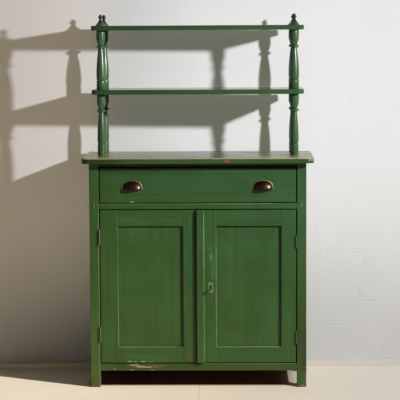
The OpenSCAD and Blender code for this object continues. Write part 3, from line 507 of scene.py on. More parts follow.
def bleachAndSheenTop(f, colour, bare):
    # The flat of the top is bleached in streaks, with a painted reflection of the wall in them, most of all
    # at its two ends and along the front
    streak = f.noise((3.0, 55, 30), 5, 0.65, (4, 0, 0)) + f.noise((5, 14, 1), 3, 0.6, (0, 2, 0)) * 0.4
    ends = f.axis("X").size().between(*topFace["ends"]) * topFace["endsMore"]
    front = f.axis("Y").between(*topFace["front"]) * topFace["frontMore"]
    bleachAndSheen = (streak + ends + front).between(*topFace["bleachAndSheenSpan"])
    bleachAndSheen = bleachAndSheen * f.axis("Z").between(*topFace["bleachAndSheenZ"])
    return f.mix(bleachAndSheen * 0.8, colour, topFace["bleachAndSheen"]), bare.most(bleachAndSheen * 0.35)


topMarks = {
    "edge": (shade, [("Z", 0.98, 0.977)], (0.055, 0.07, 0.028), 0.45),
    "front arris": (wearAndHighlightFrontArris,),
    "bleached flat with painted sheen": (bleachAndSheenTop,),
    # rubbed pale, with a painted highlight where the rounded corner faces the lamp
    "pale right end": (tint, [(0.484, 0.977, 0.02, 0.011)], (0.21, 0.27, 0.13), 0.9, 60, 0.7),
    "dark left edge": (shade, [("Z", 0.98, 0.977), ("X", -0.25, -0.42)], (0.022, 0.024, 0.008), 0.72),
    "chip": (patch, [(0.1235, 0.9705, 0.0085, 0.0065), (0.132, 0.968, 0.006, 0.005)],
        (0.24, 0.085, 0.035), 1.0, 160, 0.85),
}

shelfMarks = {
    "darker to the left": (shade, [("X", 0.25, -0.35)], (0.016, 0.032, 0.016), 0.45),
    # painted shade on the left ends, which face away from the lamp
    "shaded left ends": (shade, [("X", -0.425, -0.44)], (0.022, 0.026, 0.012), 0.5),
}


def markHollows(f, colour, bare):
    # Grime lies in the hollows of the turnings, where the profile's wear is below 0
    return f.mix(f.wear().between(-0.15, -0.8) * 0.8, colour, (0.006, 0.012, 0.005)), bare


turningMarks = {
    "hollows": (markHollows,),
    "dark finials": (shade, [("Z", 1.54, 1.562)], (0.012, 0.02, 0.01), 0.9),
}


# Other finishes

pine = {
    "light": (0.5, 0.31, 0.15),
    "dark": (0.24, 0.125, 0.052),
    "grimeAndShade": (0.09, 0.052, 0.026),
    "ringRun": (1.6, 26), "fibreRun": (12, 700),
    "rings": 7.0,
    "relief": 0.00025,
}


def pineFinish(name, along):
    f = Finish(name)
    rings = f.noise(drawn(along, *pine["ringRun"]), 4, 0.6, distortion=0.6) * pine["rings"]
    fibre = f.noise(drawn(along, *pine["fibreRun"]), 2, 0.6)
    grain = rings.sum("PINGPONG", rings, 1.0)
    colour = f.ramp(grain * 0.7 + fibre * 0.3, [(0.15, pine["dark"]), (0.75, pine["light"])])
    darkening = f.noise(4.5, 4, 0.6, (1, 6, 3)).between(0.45, 0.75)
    colour = f.mix(darkening * 0.6, colour, pine["grimeAndShade"])
    colour = f.mix(f.wear().between(0.5, 1.0) * 0.4, colour, pine["grimeAndShade"])
    return f.surface(Base_Color=colour, Roughness=0.62 + fibre * 0.2,
                     Normal=f.bump(grain * 0.6 + fibre * 0.4, pine["relief"]))


iron = {
    "japan": [(0.3, (0.022, 0.008, 0.005)), (0.7, (0.105, 0.04, 0.026))],
    "bronze": (0.34, 0.33, 0.19),
    "rust": (0.085, 0.035, 0.016),
    "pit": (0.03, 0.02, 0.014),
    "relief": 0.00012,
}


def enamelFinish():
    # The cup pulls: iron japanned dark red-brown, with a bronze gleam where hands have rubbed it
    f = Finish("japanned iron of the pulls")
    mottle = f.noise(120, 4, 0.6)
    rub = (f.wear() + (f.noise(210, 3) - 0.5) * 1.0).between(0.85, 1.1)
    colour = f.mix(rub, f.ramp(mottle, iron["japan"]), iron["bronze"])
    return f.surface(Base_Color=colour, Roughness=0.38 + mottle * 0.14 + rub * 0.1, Metallic=1.0,
                     Coat_Weight=0.5, Coat_Roughness=0.22, Normal=f.bump(mottle, iron["relief"]))


def steelFinish(name, bright, rust):
    f = Finish(name)
    mottle = f.noise(90, 5, 0.65)
    pits = f.noise(420, 3, 0.6)
    stain = (mottle + (f.noise(14, 2) - 0.5) * 0.5).between(0.48, 0.66) * rust
    colour = f.mix(stain, bright, iron["rust"])
    colour = f.mix(pits.between(0.6, 0.75) * 0.5, colour, iron["pit"])
    colour = f.mix(f.wear() * 0.5, colour, tuple(min(1, c * 1.6) for c in bright))
    return f.surface(Base_Color=colour, Roughness=0.34 + stain * 0.35 + pits * 0.12,
                     Metallic=1 - stain * 0.75, Normal=f.bump(mottle * 0.6 + pits * 0.4, iron["relief"]))


escutcheon = {
    "pale": (0.135, 0.2, 0.095), "deep": (0.055, 0.085, 0.036),
    "rubbed": (0.25, 0.33, 0.17),
    "rim": (0.0026, 0.0008),  # how far in from the edge the rubbed rim lies
    "keyhole": (0.0535, 0.4315, 0.0055, 0.01),
    # painted shade round the keyhole
    "dark": (0.006, 0.012, 0.003),
}


def escutcheonFinish():
    # Painted over with the stile; its rim is rubbed pale, and painted shade darkens it round the keyhole
    f = Finish("painted escutcheon")
    low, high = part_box("escutcheon")
    middle, half = (low + high) / 2, (high - low) / 2
    mottle = f.noise(160, 4, 0.6)
    rim = 0.0
    for name, at, reach in (("X", middle.x, half.x), ("Z", middle.z, half.z)):
        rim = (f.axis(name) - at).size().between(*[reach - r for r in escutcheon["rim"]]) + rim
    rubbed = (rim + (mottle - 0.5) * 0.9).between(0.55, 0.9)
    colour = f.mix(mottle.between(0.45, 0.65) * 0.6, escutcheon["pale"], escutcheon["deep"])
    colour = f.mix(rubbed * 0.6, colour, escutcheon["rubbed"])
    # painted shade round the keyhole
    colour = f.mix(f.near(*escutcheon["keyhole"], 0.3, 200), colour, escutcheon["dark"])
    return f.surface(Base_Color=colour, Roughness=0.38 + mottle * 0.15, Normal=f.bump(mottle, 0.0001))


hinge = {
    "deep": (0.008, 0.024, 0.006), "plain": (0.02, 0.055, 0.012),
    "streak": (0.2, 0.22, 0.12),
    "line": (0.26, 0.28, 0.15), "highlightX": 0.4165, "highlightHalf": 0.0012,
}


def hingeFinish():
    # Dark green paint worn off in thin streaks, and a painted highlight down each knuckle, brighter on the
    # left
    f = Finish("painted hinge iron")
    mottle = f.noise(130, 4, 0.6)
    colour = f.mix(mottle.between(0.4, 0.65), hinge["deep"], hinge["plain"])
    streak = f.noise((900, 900, 14), 3, 0.6).between(0.56, 0.66)
    colour = f.mix(streak * 0.6, colour, hinge["streak"])
    # painted highlight along each hinge's knuckle
    for side in (-1, 1):
        line = f.line("X", side * hinge["highlightX"], hinge["highlightHalf"])
        colour = f.mix(line * (0.5 - side * 0.15), colour, hinge["line"])
    return f.surface(Base_Color=colour, Roughness=0.42 + mottle * 0.15, Normal=f.bump(mottle, 0.0001))


greenX = green("along x", "x")
greenZ = green("along z", "z")
greenPosts = green("of the posts", "z", postMarks)
greenLeftX = green("of the left door's rails", "x", leftDoorMarks)
greenLeftZ = green("of the left door's stiles", "z", leftDoorMarks)
greenTurned = green("of the turnings", "z", turningMarks, gloss=0.07, wear=0.8, dull=0.22)
hingePaint = hingeFinish()
escutcheonPaint = escutcheonFinish()
pineX = pineFinish("bare pine along x", "x")
pineY = pineFinish("bare pine along y", "y")
pineZ = pineFinish("bare pine along z", "z")
enamel = enamelFinish()
steel = steelFinish("old steel", (0.16, 0.14, 0.12), 0.8)
keySteel = steelFinish("brown iron of the key", (0.15, 0.105, 0.06), 0.7)
print("finishes made")


# Floor, wall and the light of the room

room = {
    "wall": 0.257,  # y of the wall where x is 0
    "wallTurn": 0.036,  # it runs further away to the right
    "reach": 4,  # floor and wall end this far to each side, and the wall this far up
    "front": -9, "behind": 3,
    # painted light: the wall's colour is graded for the lamp's falloff, brightest a little right of the
    # middle and darker to either side
    "wallHigh": [(0.0, (0.42, 0.41, 0.415)), (0.27, (0.5, 0.495, 0.51)), (0.5, (0.64, 0.635, 0.66)),
        (0.65, (0.635, 0.63, 0.655)), (1.0, (0.565, 0.56, 0.585))],
    "wallLow": [(0.0, (0.46, 0.445, 0.43)), (0.5, (0.46, 0.45, 0.44)), (1.0, (0.45, 0.445, 0.44))],
    "lowZ": (1.05, 0.1),  # heights over which the upper colours pass into the lower ones, painted shade towards the floor
    "fill": (0.098, 0.097, 0.075),  # painted fill light: a glow the wall shows to the camera and in reflections, for what the rest of the room adds
    "fillLeft": (0.15, 0.12, 0.08),
    "fillX": (-0.3, -0.6), "fillZ": (0.75, 0.05),
    "shade": (0.16, 0.085, 0.055),  # painted shade on the wall and floor behind and under the dresser, where no light gets
    "unlitWall": [("Z", 0.13, 0.1), ("X", -0.5, -0.46), ("X", 0.47, 0.35)],
    "unlitFloor": [("Y", -0.165, -0.12), ("X", -0.49, -0.455), ("X", 0.475, 0.33)],
    # painted light: the floor is brightest and warmest to the left
    "floor": [(0.0, (0.98, 0.84, 0.64)), (0.5, (0.8, 0.675, 0.5)), (1.0, (0.55, 0.505, 0.455))],
    "floorGrain": (0.42, 0.33, 0.22),
    "lump": (0.55, 0.54, 0.52),
    "dents": [(0.707, 0.517, 0.04, 0.0035), (0.77, 0.3, 0.045, 0.004), (0.71, 0.33, 0.014, 0.03),
        (0.6, 0.19, 0.05, 0.004)],
    "roughZ": (0.26, 0.08),  # the plaster is rougher near the floor
    "seam": 0.0045,  # x of the one visible joint between two floor boards
    "seamHalf": 0.0012,
    "seamTone": (0.3, 0.22, 0.14),
    "coveHeight": 0.0293,  # the floor's finish runs this far up the wall
    "coveSlope": 0.0069,  # and rises to the right
    "coveJoint": (0.2, 0.18, 0.17), "coveGrey": (0.44, 0.425, 0.415),
    "sky": 0.08,
    "skyTone": (1.0, 0.985, 0.96, 1),
}


def floorColour(f):
    # Painted light: warmer and brighter to the left, greyer and darker to the right, with a brushed grain
    # along x
    colour = f.ramp(f.axis("X").between(-1.0, 1.0), room["floor"])
    grain = f.noise((1.2, 16, 30), 4, 0.6)
    return f.mix(grain.between(0.45, 0.75) * 0.07, colour, room["floorGrain"])


def addCove(f, colour):
    # Where the floor's finish is carried a little way up the wall, with a dark joint over it
    edge = f.axis("Z") - f.axis("X") * room["coveSlope"] - room["coveHeight"]
    joint = edge.between(0.0055, 0.0015) * edge.between(-0.0008, 0.0002) * f.noise(7, 3).between(0.35, 0.65)
    colour = f.mix(joint * 0.3, colour, room["coveJoint"])
    cove = f.mix(f.axis("X").between(0.0, 0.5) * 0.6, floorColour(f), room["coveGrey"])
    return f.mix(edge.between(0.0004, -0.0004), colour, cove)


def wallFinish():
    f = Finish("plaster")
    lumps = f.noise(2.3, 3, 0.5)
    across = f.axis("X") * 0.61 + 0.5
    # painted light and shade across the wall and down towards the floor
    upper, lower = f.ramp(across, room["wallHigh"]), f.ramp(across, room["wallLow"])
    colour = f.mix(f.axis("Z").between(*room["lowZ"]), upper, lower)
    colour = f.mix((lumps + f.noise(9, 4, 0.6) * 0.5).between(0.6, 0.9) * 0.06, colour, room["lump"])
    colour = addCove(f, colour)
    # painted shade low behind the dresser
    colour = f.mix(f.within(room["unlitWall"]), colour, room["shade"])
    dents = f.noise(22, 2, 0.5, (4, 0, 2)).between(0.68, 0.76)
    dents = dents * f.noise(3, 2, 0.5, (1, 0, 9)).between(0.48, 0.6)
    for place in room["dents"]:
        dents = dents.most(f.near(*place, 0.9, 60) * 0.5)
    fine = f.noise(46, 4, 0.6) * (1 + f.axis("Z").between(*room["roughZ"]) * 3)
    normal = f.bump(lumps * 6 + fine * 0.5 - dents * 1.8, 0.0009)
    # painted fill light, stronger to the left and fading towards the floor
    glow = f.mix(f.axis("X").between(*room["fillX"]), room["fill"], room["fillLeft"])
    glow = f.mix(f.axis("Z").between(*room["fillZ"]), glow, (0, 0, 0))
    seen = f.node("LightPath", {}, {}, "Is Camera Ray")
    mirrored = f.node("LightPath", {}, {}, "Is Glossy Ray")
    glow = f.mix(seen.most(mirrored), (0, 0, 0), glow)
    shader = f.node("BsdfPrincipled", {},
                    {"Base Color": colour, "Roughness": 0.8, "Normal": normal, "Specular IOR Level": 0.1,
                     "Emission Color": glow, "Emission Strength": 1.0})
    clear = f.node("BsdfTransparent")
    fromBehind = f.node("NewGeometry", {}, {}, "Backfacing")
    both = f.node("MixShader", {}, {0: fromBehind * seen, 1: shader, 2: clear})
    f.tree.links.new(both.socket, f.output.inputs["Surface"])
    return f.material


def floorFinish():
    f = Finish("pale floor")
    colour = f.mix(f.line("X", room["seam"], room["seamHalf"]) * 0.45, floorColour(f), room["seamTone"])
    # painted shade under the dresser
    colour = f.mix(f.within(room["unlitFloor"]), colour, room["shade"])
    speck = f.noise(160, 3, 0.6)
    return f.surface(Base_Color=colour, Roughness=0.62 + speck * 0.2, Normal=f.bump(speck, 0.0003),
                     Specular_IOR_Level=0.0)


def addRoom():
    reach, front, back = room["reach"], room["front"], room["wall"] + room["behind"]
    left, right = (room["wall"] + side * reach * room["wallTurn"] for side in (-1, 1))
    floorCorners = [(-reach, front, 0), (reach, front, 0), (reach, back, 0), (-reach, back, 0)]
    wallCorners = [(-reach, left, 0), (reach, right, 0), (reach, right, reach), (-reach, left, reach)]
    for name, corners, material in (("floor", floorCorners, floorFinish()),
                                    ("wall", wallCorners, wallFinish())):
        mesh = bpy.data.meshes.new(name)
        mesh.from_pydata(corners, [], [(0, 1, 2, 3)])
        mesh.materials.append(material)
        plane = put(name, mesh)
        if name == "wall":
            plane.visible_shadow = False
    world = bpy.data.worlds.new("studio")
    world.use_nodes = True
    sky = world.node_tree.nodes["Background"]
    sky.inputs["Color"].default_value = room["skyTone"]
    sky.inputs["Strength"].default_value = room["sky"]
    bpy.context.scene.world = world


addRoom()
print("room made")


# Shared ways of making a piece

def newMesh():
    # The layer holds how worn each point is, 0 to 1, or a hollow's dirt below 0
    bm = bmesh.new()
    return bm, bm.verts.layers.float.new("arris")


def newPoint(bm, layer, at, wear):
    made = bm.verts.new(at)
    made[layer] = wear
    return made


def newPiece(name, bm, material, smooth, body="carcase"):
    mesh = bpy.data.meshes.new(name)
    bmesh.ops.recalc_face_normals(bm, faces=bm.faces)
    bm.to_mesh(mesh)
    bm.free()
    piece = put(name, mesh)
    mesh.materials.append(material)
    mesh.shade_smooth()
    mesh.set_sharp_from_angle(angle=math.radians(smooth))
    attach(piece, body)
    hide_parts(name)


def steps(low, high, edge, support, pitch):
    # Lines of the lattice along one side: close together at each end, then even
    length = high - low
    support = min(support, length * 0.3)
    edge = min(edge, length * 0.15)
    ends = [0, edge * 0.4, edge, support]
    count = max(1, round((length - 2 * support) / pitch))
    middle = [support + (length - 2 * support) * i / count for i in range(1, count)]
    lines = ends + middle + [length - e for e in reversed(ends)]
    return [low + v for v in lines]


board = {
    "edge": 0.0012,  # radius of a plain arris
    "support": 0.007,  # how far from the arris the wear can reach
    "pitch": 0.045,
    "wave": 0.00022,  # hand-planed waviness
    "seed": 1,  # without one, Blender's vector noise draws its offsets from the clock
}
noise.seed_set(board["seed"])


def boardMesh(low, high, edge=board["edge"], joined="", support=board["support"], wear=1.0, rubbed=None,
              span=(-1, 9)):
    # A planed board with rounded arrises; joined names the ends that butt on another piece, as "x0 x1",
    # and rubbed maps the sides whose arrises are worn most to how much more they are worn, within the
    # heights in span
    low, high = Vector(low), Vector(high)
    lines = [steps(low[a], high[a], edge, support, board["pitch"]) for a in range(3)]
    bm, layer = newMesh()
    free = [["%s%d" % (n, e) not in joined for e in (0, 1)] for n in "xyz"]
    found = {}

    def vertex(i, j, k):
        key = (i, j, k)
        if key in found:
            return found[key]
        at = Vector((lines[0][i], lines[1][j], lines[2][k]))
        gaps = []
        inner = at.copy()
        for a in range(3):
            toEnds = [at[a] - low[a], high[a] - at[a]]
            gaps.append(min(d if free[a][e] else 9 for e, d in enumerate(toEnds)))
            a0 = low[a] + (edge if free[a][0] else 0)
            a1 = high[a] - (edge if free[a][1] else 0)
            inner[a] = min(max(at[a], a0), a1)
        away = at - inner
        if sum(1 for c in away if abs(c) > 1e-9) > 1:
            at = inner + away.normalized() * edge
        rough = noise.noise_vector(at * 11) * board["wave"]
        for a in range(3):
            if not free[a][0] or not free[a][1]:
                rough[a] = 0
        worn = max(0.0, 1 - sorted(gaps)[1] / support) * wear
        if span[0] <= at.z <= span[1]:
            for side, more in (rubbed or {}).items():
                a = "xyz".index(side[0])
                gap = abs(at[a] - (low, high)[int(side[1])][a])
                worn *= 1 + more * max(0.0, 1 - gap / support)
        found[key] = newPoint(bm, layer, at + rough, worn)
        return found[key]

    sizes = [len(l) - 1 for l in lines]
    for a in range(3):
        b, c = (a + 1) % 3, (a + 2) % 3
        for end in (0, sizes[a]):
            for i in range(sizes[b]):
                for j in range(sizes[c]):
                    quad = []
                    for di, dj in ((0, 0), (1, 0), (1, 1), (0, 1)):
                        key = [0, 0, 0]
                        key[a], key[b], key[c] = end, i + di, j + dj
                        quad.append(vertex(*key))
                    bm.faces.new(quad)
    return bm


def bridge(bm, rows, closed=True):
    # Faces between each row of points and the next, down to a row of one point at a tip
    for lower, upper in zip(rows, rows[1:]):
        count = max(len(lower), len(upper))
        for i in range(count if closed else count - 1):
            j = (i + 1) % count
            corners = [lower[k % len(lower)] for k in (i, j)] + [upper[k % len(upper)] for k in (j, i)]
            bm.faces.new(dict.fromkeys(corners))


def addBoard(name, low, high, material, body="carcase", **shape):
    newPiece(name, boardMesh(low, high, **shape), material, 30, body)


def turned(name, at, profile, around=64):
    bm, layer = newMesh()
    rows = []
    for radius, height, wear in profile:
        row = []
        for i in range(around if radius > 1e-6 else 1):
            a = 2 * math.pi * i / around
            place = (at[0] + radius * math.cos(a), at[1] + radius * math.sin(a), at[2] + height)
            row.append(newPoint(bm, layer, place, wear))
        rows.append(row)
    bridge(bm, rows)
    newPiece(name, bm, greenTurned, 50)


eased = {"width": 0.0006, "steps": 2, "angle": 40}


def dress(material, *names):
    # A CAD piece whose shape is right gets its finish and slightly eased arrises
    for name in names:
        piece = nodes[name]
        for material_slot in piece.material_slots:
            material_slot.material = material
        ease = piece.modifiers.new("ease", "BEVEL")
        ease.width = eased["width"]
        ease.segments = eased["steps"]
        ease.limit_method = "ANGLE"
        ease.angle_limit = math.radians(eased["angle"])


# Carcase

openX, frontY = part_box("post_front_right")[0].xy


def addCarcase():
    for name in ("post_front_left", "post_front_right", "post_back_left", "post_back_right"):
        inner = {"x1": 0.3} if name == "post_front_left" else {}
        addBoard(name, *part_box(name), greenPosts, joined="z1", edge=0.0016, rubbed=inner)
    for name, where, marks, rubbed in (("top_front_rail", "top", topRailMarks, {}),
                                       ("mid_front_rail", "middle", midRailMarks, {"z1": 0.3}),
                                       ("bottom_front_rail", "bottom", railMarks, {"z0": 0.15})):
        low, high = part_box(name)
        addBoard(name, (-openX, low.y, low.z), (openX, high.y, high.z),
                 green("of the %s rail" % where, "x", marks), joined="x0 x1", rubbed=rubbed)
    y0, y1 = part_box("post_front_left")[1].y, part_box("post_back_left")[0].y
    for name in ("side_panel_left", "side_panel_right"):
        low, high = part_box(name)
        addBoard(name, (low.x, y0, low.z), (high.x, y1, high.z), greenZ, joined="y0 y1 z1")
    dress(pineX, "back_top_rail", "back_bottom_rail", "cupboard_floor", "inner_shelf")
    dress(pineZ, "back_board_left", "back_board_middle", "back_board_right")
    dress(pineY, "drawer_runner_left", "drawer_runner_right")


addCarcase()
print("carcase made")


# Worktop and shelves

top = {
    "corner": 0.034,
    "edge": 0.004,
    "reach": 0.016,  # wear at the arris reaches this far in over the top
    "pitch": 0.03,
}


def walk(a, b, pitch, least=1):
    # Points from a to just short of b
    a, b = Vector(a), Vector(b)
    count = max(least, round((b - a).length / pitch))
    return [a.lerp(b, i / count) for i in range(count)]


def topOutline(low, high):
    # Plan of the worktop with its two front corners rounded, counter-clockwise from the back right
    radius, pitch = top["corner"], top["pitch"]

    def bend(cx, cy, start):
        turns = [math.radians(start + 90 * i / 12) for i in range(12)]
        return [Vector((cx + radius * math.cos(a), cy + radius * math.sin(a))) for a in turns]

    x0, x1, y0 = low.x + radius, high.x - radius, low.y + radius
    return (walk((high.x, high.y), (low.x, high.y), pitch) + walk((low.x, high.y), (low.x, y0), pitch)
            + bend(x0, y0, 180) + walk((x0, low.y), (x1, low.y), pitch) + bend(x1, y0, 270)
            + walk((high.x, y0), (high.x, high.y), pitch))


def edgeRings(low, high):
    # (inset, height, wear) from the middle of the underside, over the edge, to the middle of the top
    edge, reach = top["edge"], top["reach"]
    rings = [(reach, low.z, 0.0), (0.0016, low.z, 0.7), (0.0004, low.z + 0.0005, 1.0),
             (0.0, low.z + 0.002, 0.6)]
    for i in range(7):
        a = math.radians(15 * i)
        height = high.z - edge + edge * math.sin(a)
        rings.append((edge * (1 - math.cos(a)), height, 0.6 + 0.4 * math.sin(2 * a)))
    return rings + [(edge + 0.002, high.z, 0.85), (reach, high.z, 0.0)]


def slab(name, outline, rings, material, backY=9, wave=0.0003):
    # outline swept through the rings, then closed above and below
    bm, layer = newMesh()
    count = len(outline)
    normals = []
    for i, p in enumerate(outline):
        along = (outline[(i + 1) % count] - p).normalized() + (p - outline[i - 1]).normalized()
        normals.append(Vector((along.y, -along.x)).normalized())
    rows = []
    for inset, height, wear in rings:
        row = []
        for p, n in zip(outline, normals):
            q = p - n * inset
            wobble = noise.noise(Vector((p.x * 7, p.y * 7, 3.1))) * wave
            q = q - n * abs(wobble)
            plain = p.y > backY - 0.002
            row.append(newPoint(bm, layer, (q.x, min(q.y, backY), height), 0.0 if plain else wear))
        rows.append(row)
    bridge(bm, rows)
    bm.faces.new(rows[0])
    bm.faces.new(rows[-1])
    newPiece(name, bm, material, 40)


def addWorktop():
    low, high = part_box("worktop")
    finish = green("of the worktop", "x", topMarks, gloss=0.12)
    slab("worktop", topOutline(low, high), edgeRings(low, high), finish, backY=high.y)


shelf = {
    "cut": 0.0195,  # cut-off corners
    "pitch": 0.03,
    "round": 0.0012,  # the arrises
    "reach": 0.007,  # how far their wear goes
    "wave": 0.0004,
}


def shelfOutline(low, high):
    c = shelf["cut"]
    corners = [(high.x, high.y - c), (high.x - c, high.y), (low.x + c, high.y), (low.x, high.y - c),
               (low.x, low.y + c), (low.x + c, low.y), (high.x - c, low.y), (high.x, low.y + c)]
    sides = zip(corners, corners[1:] + corners[:1])
    return [point for a, b in sides for point in walk(a, b, shelf["pitch"], 2)]


def addShelves():
    finish = green("of the shelves", "x", shelfMarks, gloss=0.2, dull=0.2)
    ease, reach = shelf["round"], shelf["reach"]
    for name in ("middle_shelf", "top_shelf"):
        low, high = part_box(name)
        foot = [(reach, low.z, 0), (ease, low.z, 0.8), (0, low.z + ease, 1), (0, low.z + reach, 0)]
        head = [(0, high.z - reach, 0), (0, high.z - ease, 1), (ease, high.z, 0.8), (reach, high.z, 0)]
        slab(name, shelfOutline(low, high), foot + head, finish, wave=shelf["wave"])


addWorktop()
addShelves()
print("worktop and shelves made")


# Turned columns and finials. A profile is (radius, height, wear) from the foot up, in millimetres, and wear
# below 0 marks a hollow

turning = {
    "drum": 37.5, "drumHeight": 64,
    "waist": 25.5, "ring": 38.5, "ringHeight": 12, "ringSteps": 14, "neck": 21,
    "flareHeight": 134, "flareSteps": 32, "swell": 105, "lip": 1.4,
    "upperFlare": 39.5, "lowerFlare": 36, "upperBlock": 38.5, "lowerBlock": 35,
    "groove": 3, "grooveDepth": 3, "footRing": 8,
    "finialHeight": 49, "finialFoot": 44, "finialNeck": 9, "acorn": 17, "acornHeight": 21,
}


def easeCurve(r0, z0, r1, z1, n, wear=0.0):
    return [(r0 + (r1 - r0) * (1 - math.cos(math.pi * i / n)) / 2, z0 + (z1 - z0) * i / n, wear)
            for i in range(1, n + 1)]


def columnProfile(height, block, flare, footRing):
    t = turning
    drum, ring, groove = t["drumHeight"], t["ringHeight"], t["groove"]
    drumZ = height - drum
    ringZ = drumZ - ring
    flareZ = ringZ - t["flareHeight"]
    blockTop = flareZ - groove
    rb, rd, rn, rw = block / 2, t["drum"] / 2, t["neck"] / 2, t["waist"] / 2
    deep = rb - t["grooveDepth"]
    points = [(0, 0, 0), (rb - 0.6, 0, -1), (rb, 0.6, -0.3)]
    if footRing:
        for away, cut, wear in ((-2, 0, 0.5), (-1.2, 0.3, 0.9), (-0.4, 1.4, -1), (0.4, 1.4, -1),
                                (1.2, 0.3, 0.9), (2, 0, 0.4)):
            points.append((rb - cut, footRing + away, wear))
    points += [(rb, blockTop - 2, 0.4), (rb - 0.25, blockTop - 1, 1.0), (rb - 1, blockTop - 0.2, 0.7),
               (deep + 0.3, blockTop + groove * 0.35, -1), (deep, blockTop + groove * 0.5, -1),
               (deep + 0.2, blockTop + groove * 0.8, -1)]
    r0, r1 = flare / 2, rn
    for i in range(t["flareSteps"] + 1):
        s = i / t["flareSteps"]
        lip = t["lip"] * (1 - min(1, s * 8)) ** 2
        swell = math.sin(math.radians(t["swell"] * (1 - s)))
        wear = 0.6 if 0 < i < 3 else 0.0
        points.append((r1 + (r0 - r1) * swell - lip, flareZ + t["flareHeight"] * s, wear))
    stand = rn + 1.5
    for i in range(t["ringSteps"] + 1):
        a = math.pi * i / t["ringSteps"]
        points.append((stand + (t["ring"] / 2 - stand) * math.sin(a), ringZ + ring * (1 - math.cos(a)) / 2,
                       math.sin(a) ** 4 * 2 - 1))
    points.append((rw, drumZ + 0.4, -1))
    points += easeCurve(rw, drumZ + 0.4, rd, drumZ + drum * 0.45, 14)
    points += [(rd + 0.35, height - drum * 0.4, 0), (rd + 0.5, height - drum * 0.27, 0),
               (rd + 0.3, height - drum * 0.12, 0.2), (rd, height - 1.2, 0.7),
               (rd - 0.6, height - 0.2, 0.4), (rd - 1, height, 0), (0, height, 0)]
    return points


def finialProfile():
    t = turning
    rf, rn, ra = t["finialFoot"] / 2, t["finialNeck"] / 2, t["acorn"] / 2
    height, collar = t["finialHeight"], rn + 1.8
    acornZ = height - t["acornHeight"]
    collarZ = acornZ - 4
    points = [(0, 0, 0), (rf - 0.6, 0, 0), (rf, 0.5, 0.6), (rf, 1.5, 0.8)]
    for i in range(1, 17):
        s = i / 16
        points.append((collar + (rf - collar) * (1 - s) ** 1.25, 1.5 + (collarZ - 1.5) * s, 0))
    points += easeCurve(collar, collarZ, rn, acornZ - 1, 8)
    for i in range(21):
        a = math.radians(9 * i)
        points.append((rn + (ra - rn) * math.sin(a), acornZ + t["acornHeight"] * (1 - math.cos(a)) / 2.6,
                       0.5 * math.sin(a) ** 4))
    return points + [(rn * 0.8, height - 2, 0.4), (rn * 0.4, height - 0.5, 0.5), (0, height, 0.5)]


def metres(profile):
    return [(r / 1000, z / 1000, w) for r, z, w in profile]


def addTurnings():
    t = turning
    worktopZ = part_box("worktop")[1].z
    middle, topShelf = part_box("middle_shelf"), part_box("top_shelf")
    lowerHeight, upperHeight = (middle[0].z - worktopZ) * 1000, (topShelf[0].z - middle[1].z) * 1000
    lower = metres(columnProfile(lowerHeight, t["lowerBlock"], t["lowerFlare"], t["footRing"]))
    upper = metres(columnProfile(upperHeight, t["upperBlock"], t["upperFlare"], 0))
    for place in ("front_left", "front_right", "back_left", "back_right"):
        low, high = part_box("lower_column_" + place)
        x, y = ((low + high) / 2).xy
        turned("lower_column_" + place, (x, y, worktopZ), lower)
        turned("upper_column_" + place, (x, y, middle[1].z), upper)
        turned("finial_" + place, (x, y, topShelf[1].z), metres(finialProfile()), around=48)


addTurnings()
print("turnings made")


# Doors

def addDoor(side, body, rails, stiles, line):
    # line is how much the arrises at the left and the foot of the panel are rubbed; they face the lamp, so
    # their pale paint is wear with a painted highlight
    part = side + "_door_"
    hingeStile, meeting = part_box(part + "hinge_stile"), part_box(part + "meeting_stile")
    inner = sorted((hingeStile, meeting), key=lambda b: b[0].x)
    x0, x1 = inner[0][1].x, inner[1][0].x
    span = (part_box(part + "bottom_rail")[1].z - 0.012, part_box(part + "top_rail")[0].z + 0.012)
    for name, (low, high) in (("hinge_stile", hingeStile), ("meeting_stile", meeting)):
        rubbed = {"x1": line} if low.x < x0 - 0.01 else {}
        addBoard(part + name, low, high, stiles[name], body, rubbed=rubbed, span=span)
    for name, rubbed in (("top_rail", {}), ("bottom_rail", {"z1": line + 0.15})):
        low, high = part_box(part + name)
        addBoard(part + name, (x0, low.y, low.z), (x1, high.y, high.z), rails[name], body,
                 joined="x0 x1", rubbed=rubbed)
    addBoard(part + "panel", *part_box(part + "panel"), stiles["panel"], body, wear=0.0)


addDoor("left", "left_door", {"top_rail": greenLeftX, "bottom_rail": greenLeftX},
        {"hinge_stile": greenLeftZ, "meeting_stile": greenLeftZ,
         "panel": green("of the left panel", "z", panelMarks(-0.0625))}, 0.2)
addDoor("right", "right_door",
        {"top_rail": greenX, "bottom_rail": green("of the right door's bottom rail", "x", rightRailMarks)},
        {"hinge_stile": greenZ, "meeting_stile": green("of the lock stile", "z", lockMarks),
         "panel": green("of the right panel", "z", panelMarks(0.354))}, 0.25)
# its right-hand arrises face the lamp and are rubbed pale: wear with a painted highlight
addBoard("meeting_strip", *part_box("meeting_strip"), green("of the meeting strip", "z", stripMarks),
         "right_door", edge=0.004, support=0.008, rubbed={"x1": 0.2})
print("doors made")


# Drawer

def addDrawer():
    finish = green("of the drawer", "x", drawerMarks)
    addBoard("drawer_front", *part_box("drawer_front"), finish, "drawer", edge=0.002)
    dress(pineY, "drawer_side_left", "drawer_side_right")
    dress(pineX, "drawer_back", "drawer_bottom")


pull = {
    "width": 0.08, "height": 0.037, "out": 0.021, "wall": 0.002,
    "flange": 0.003, "flangeThick": 0.0015,
    "columns": 40, "rows": 14,
}


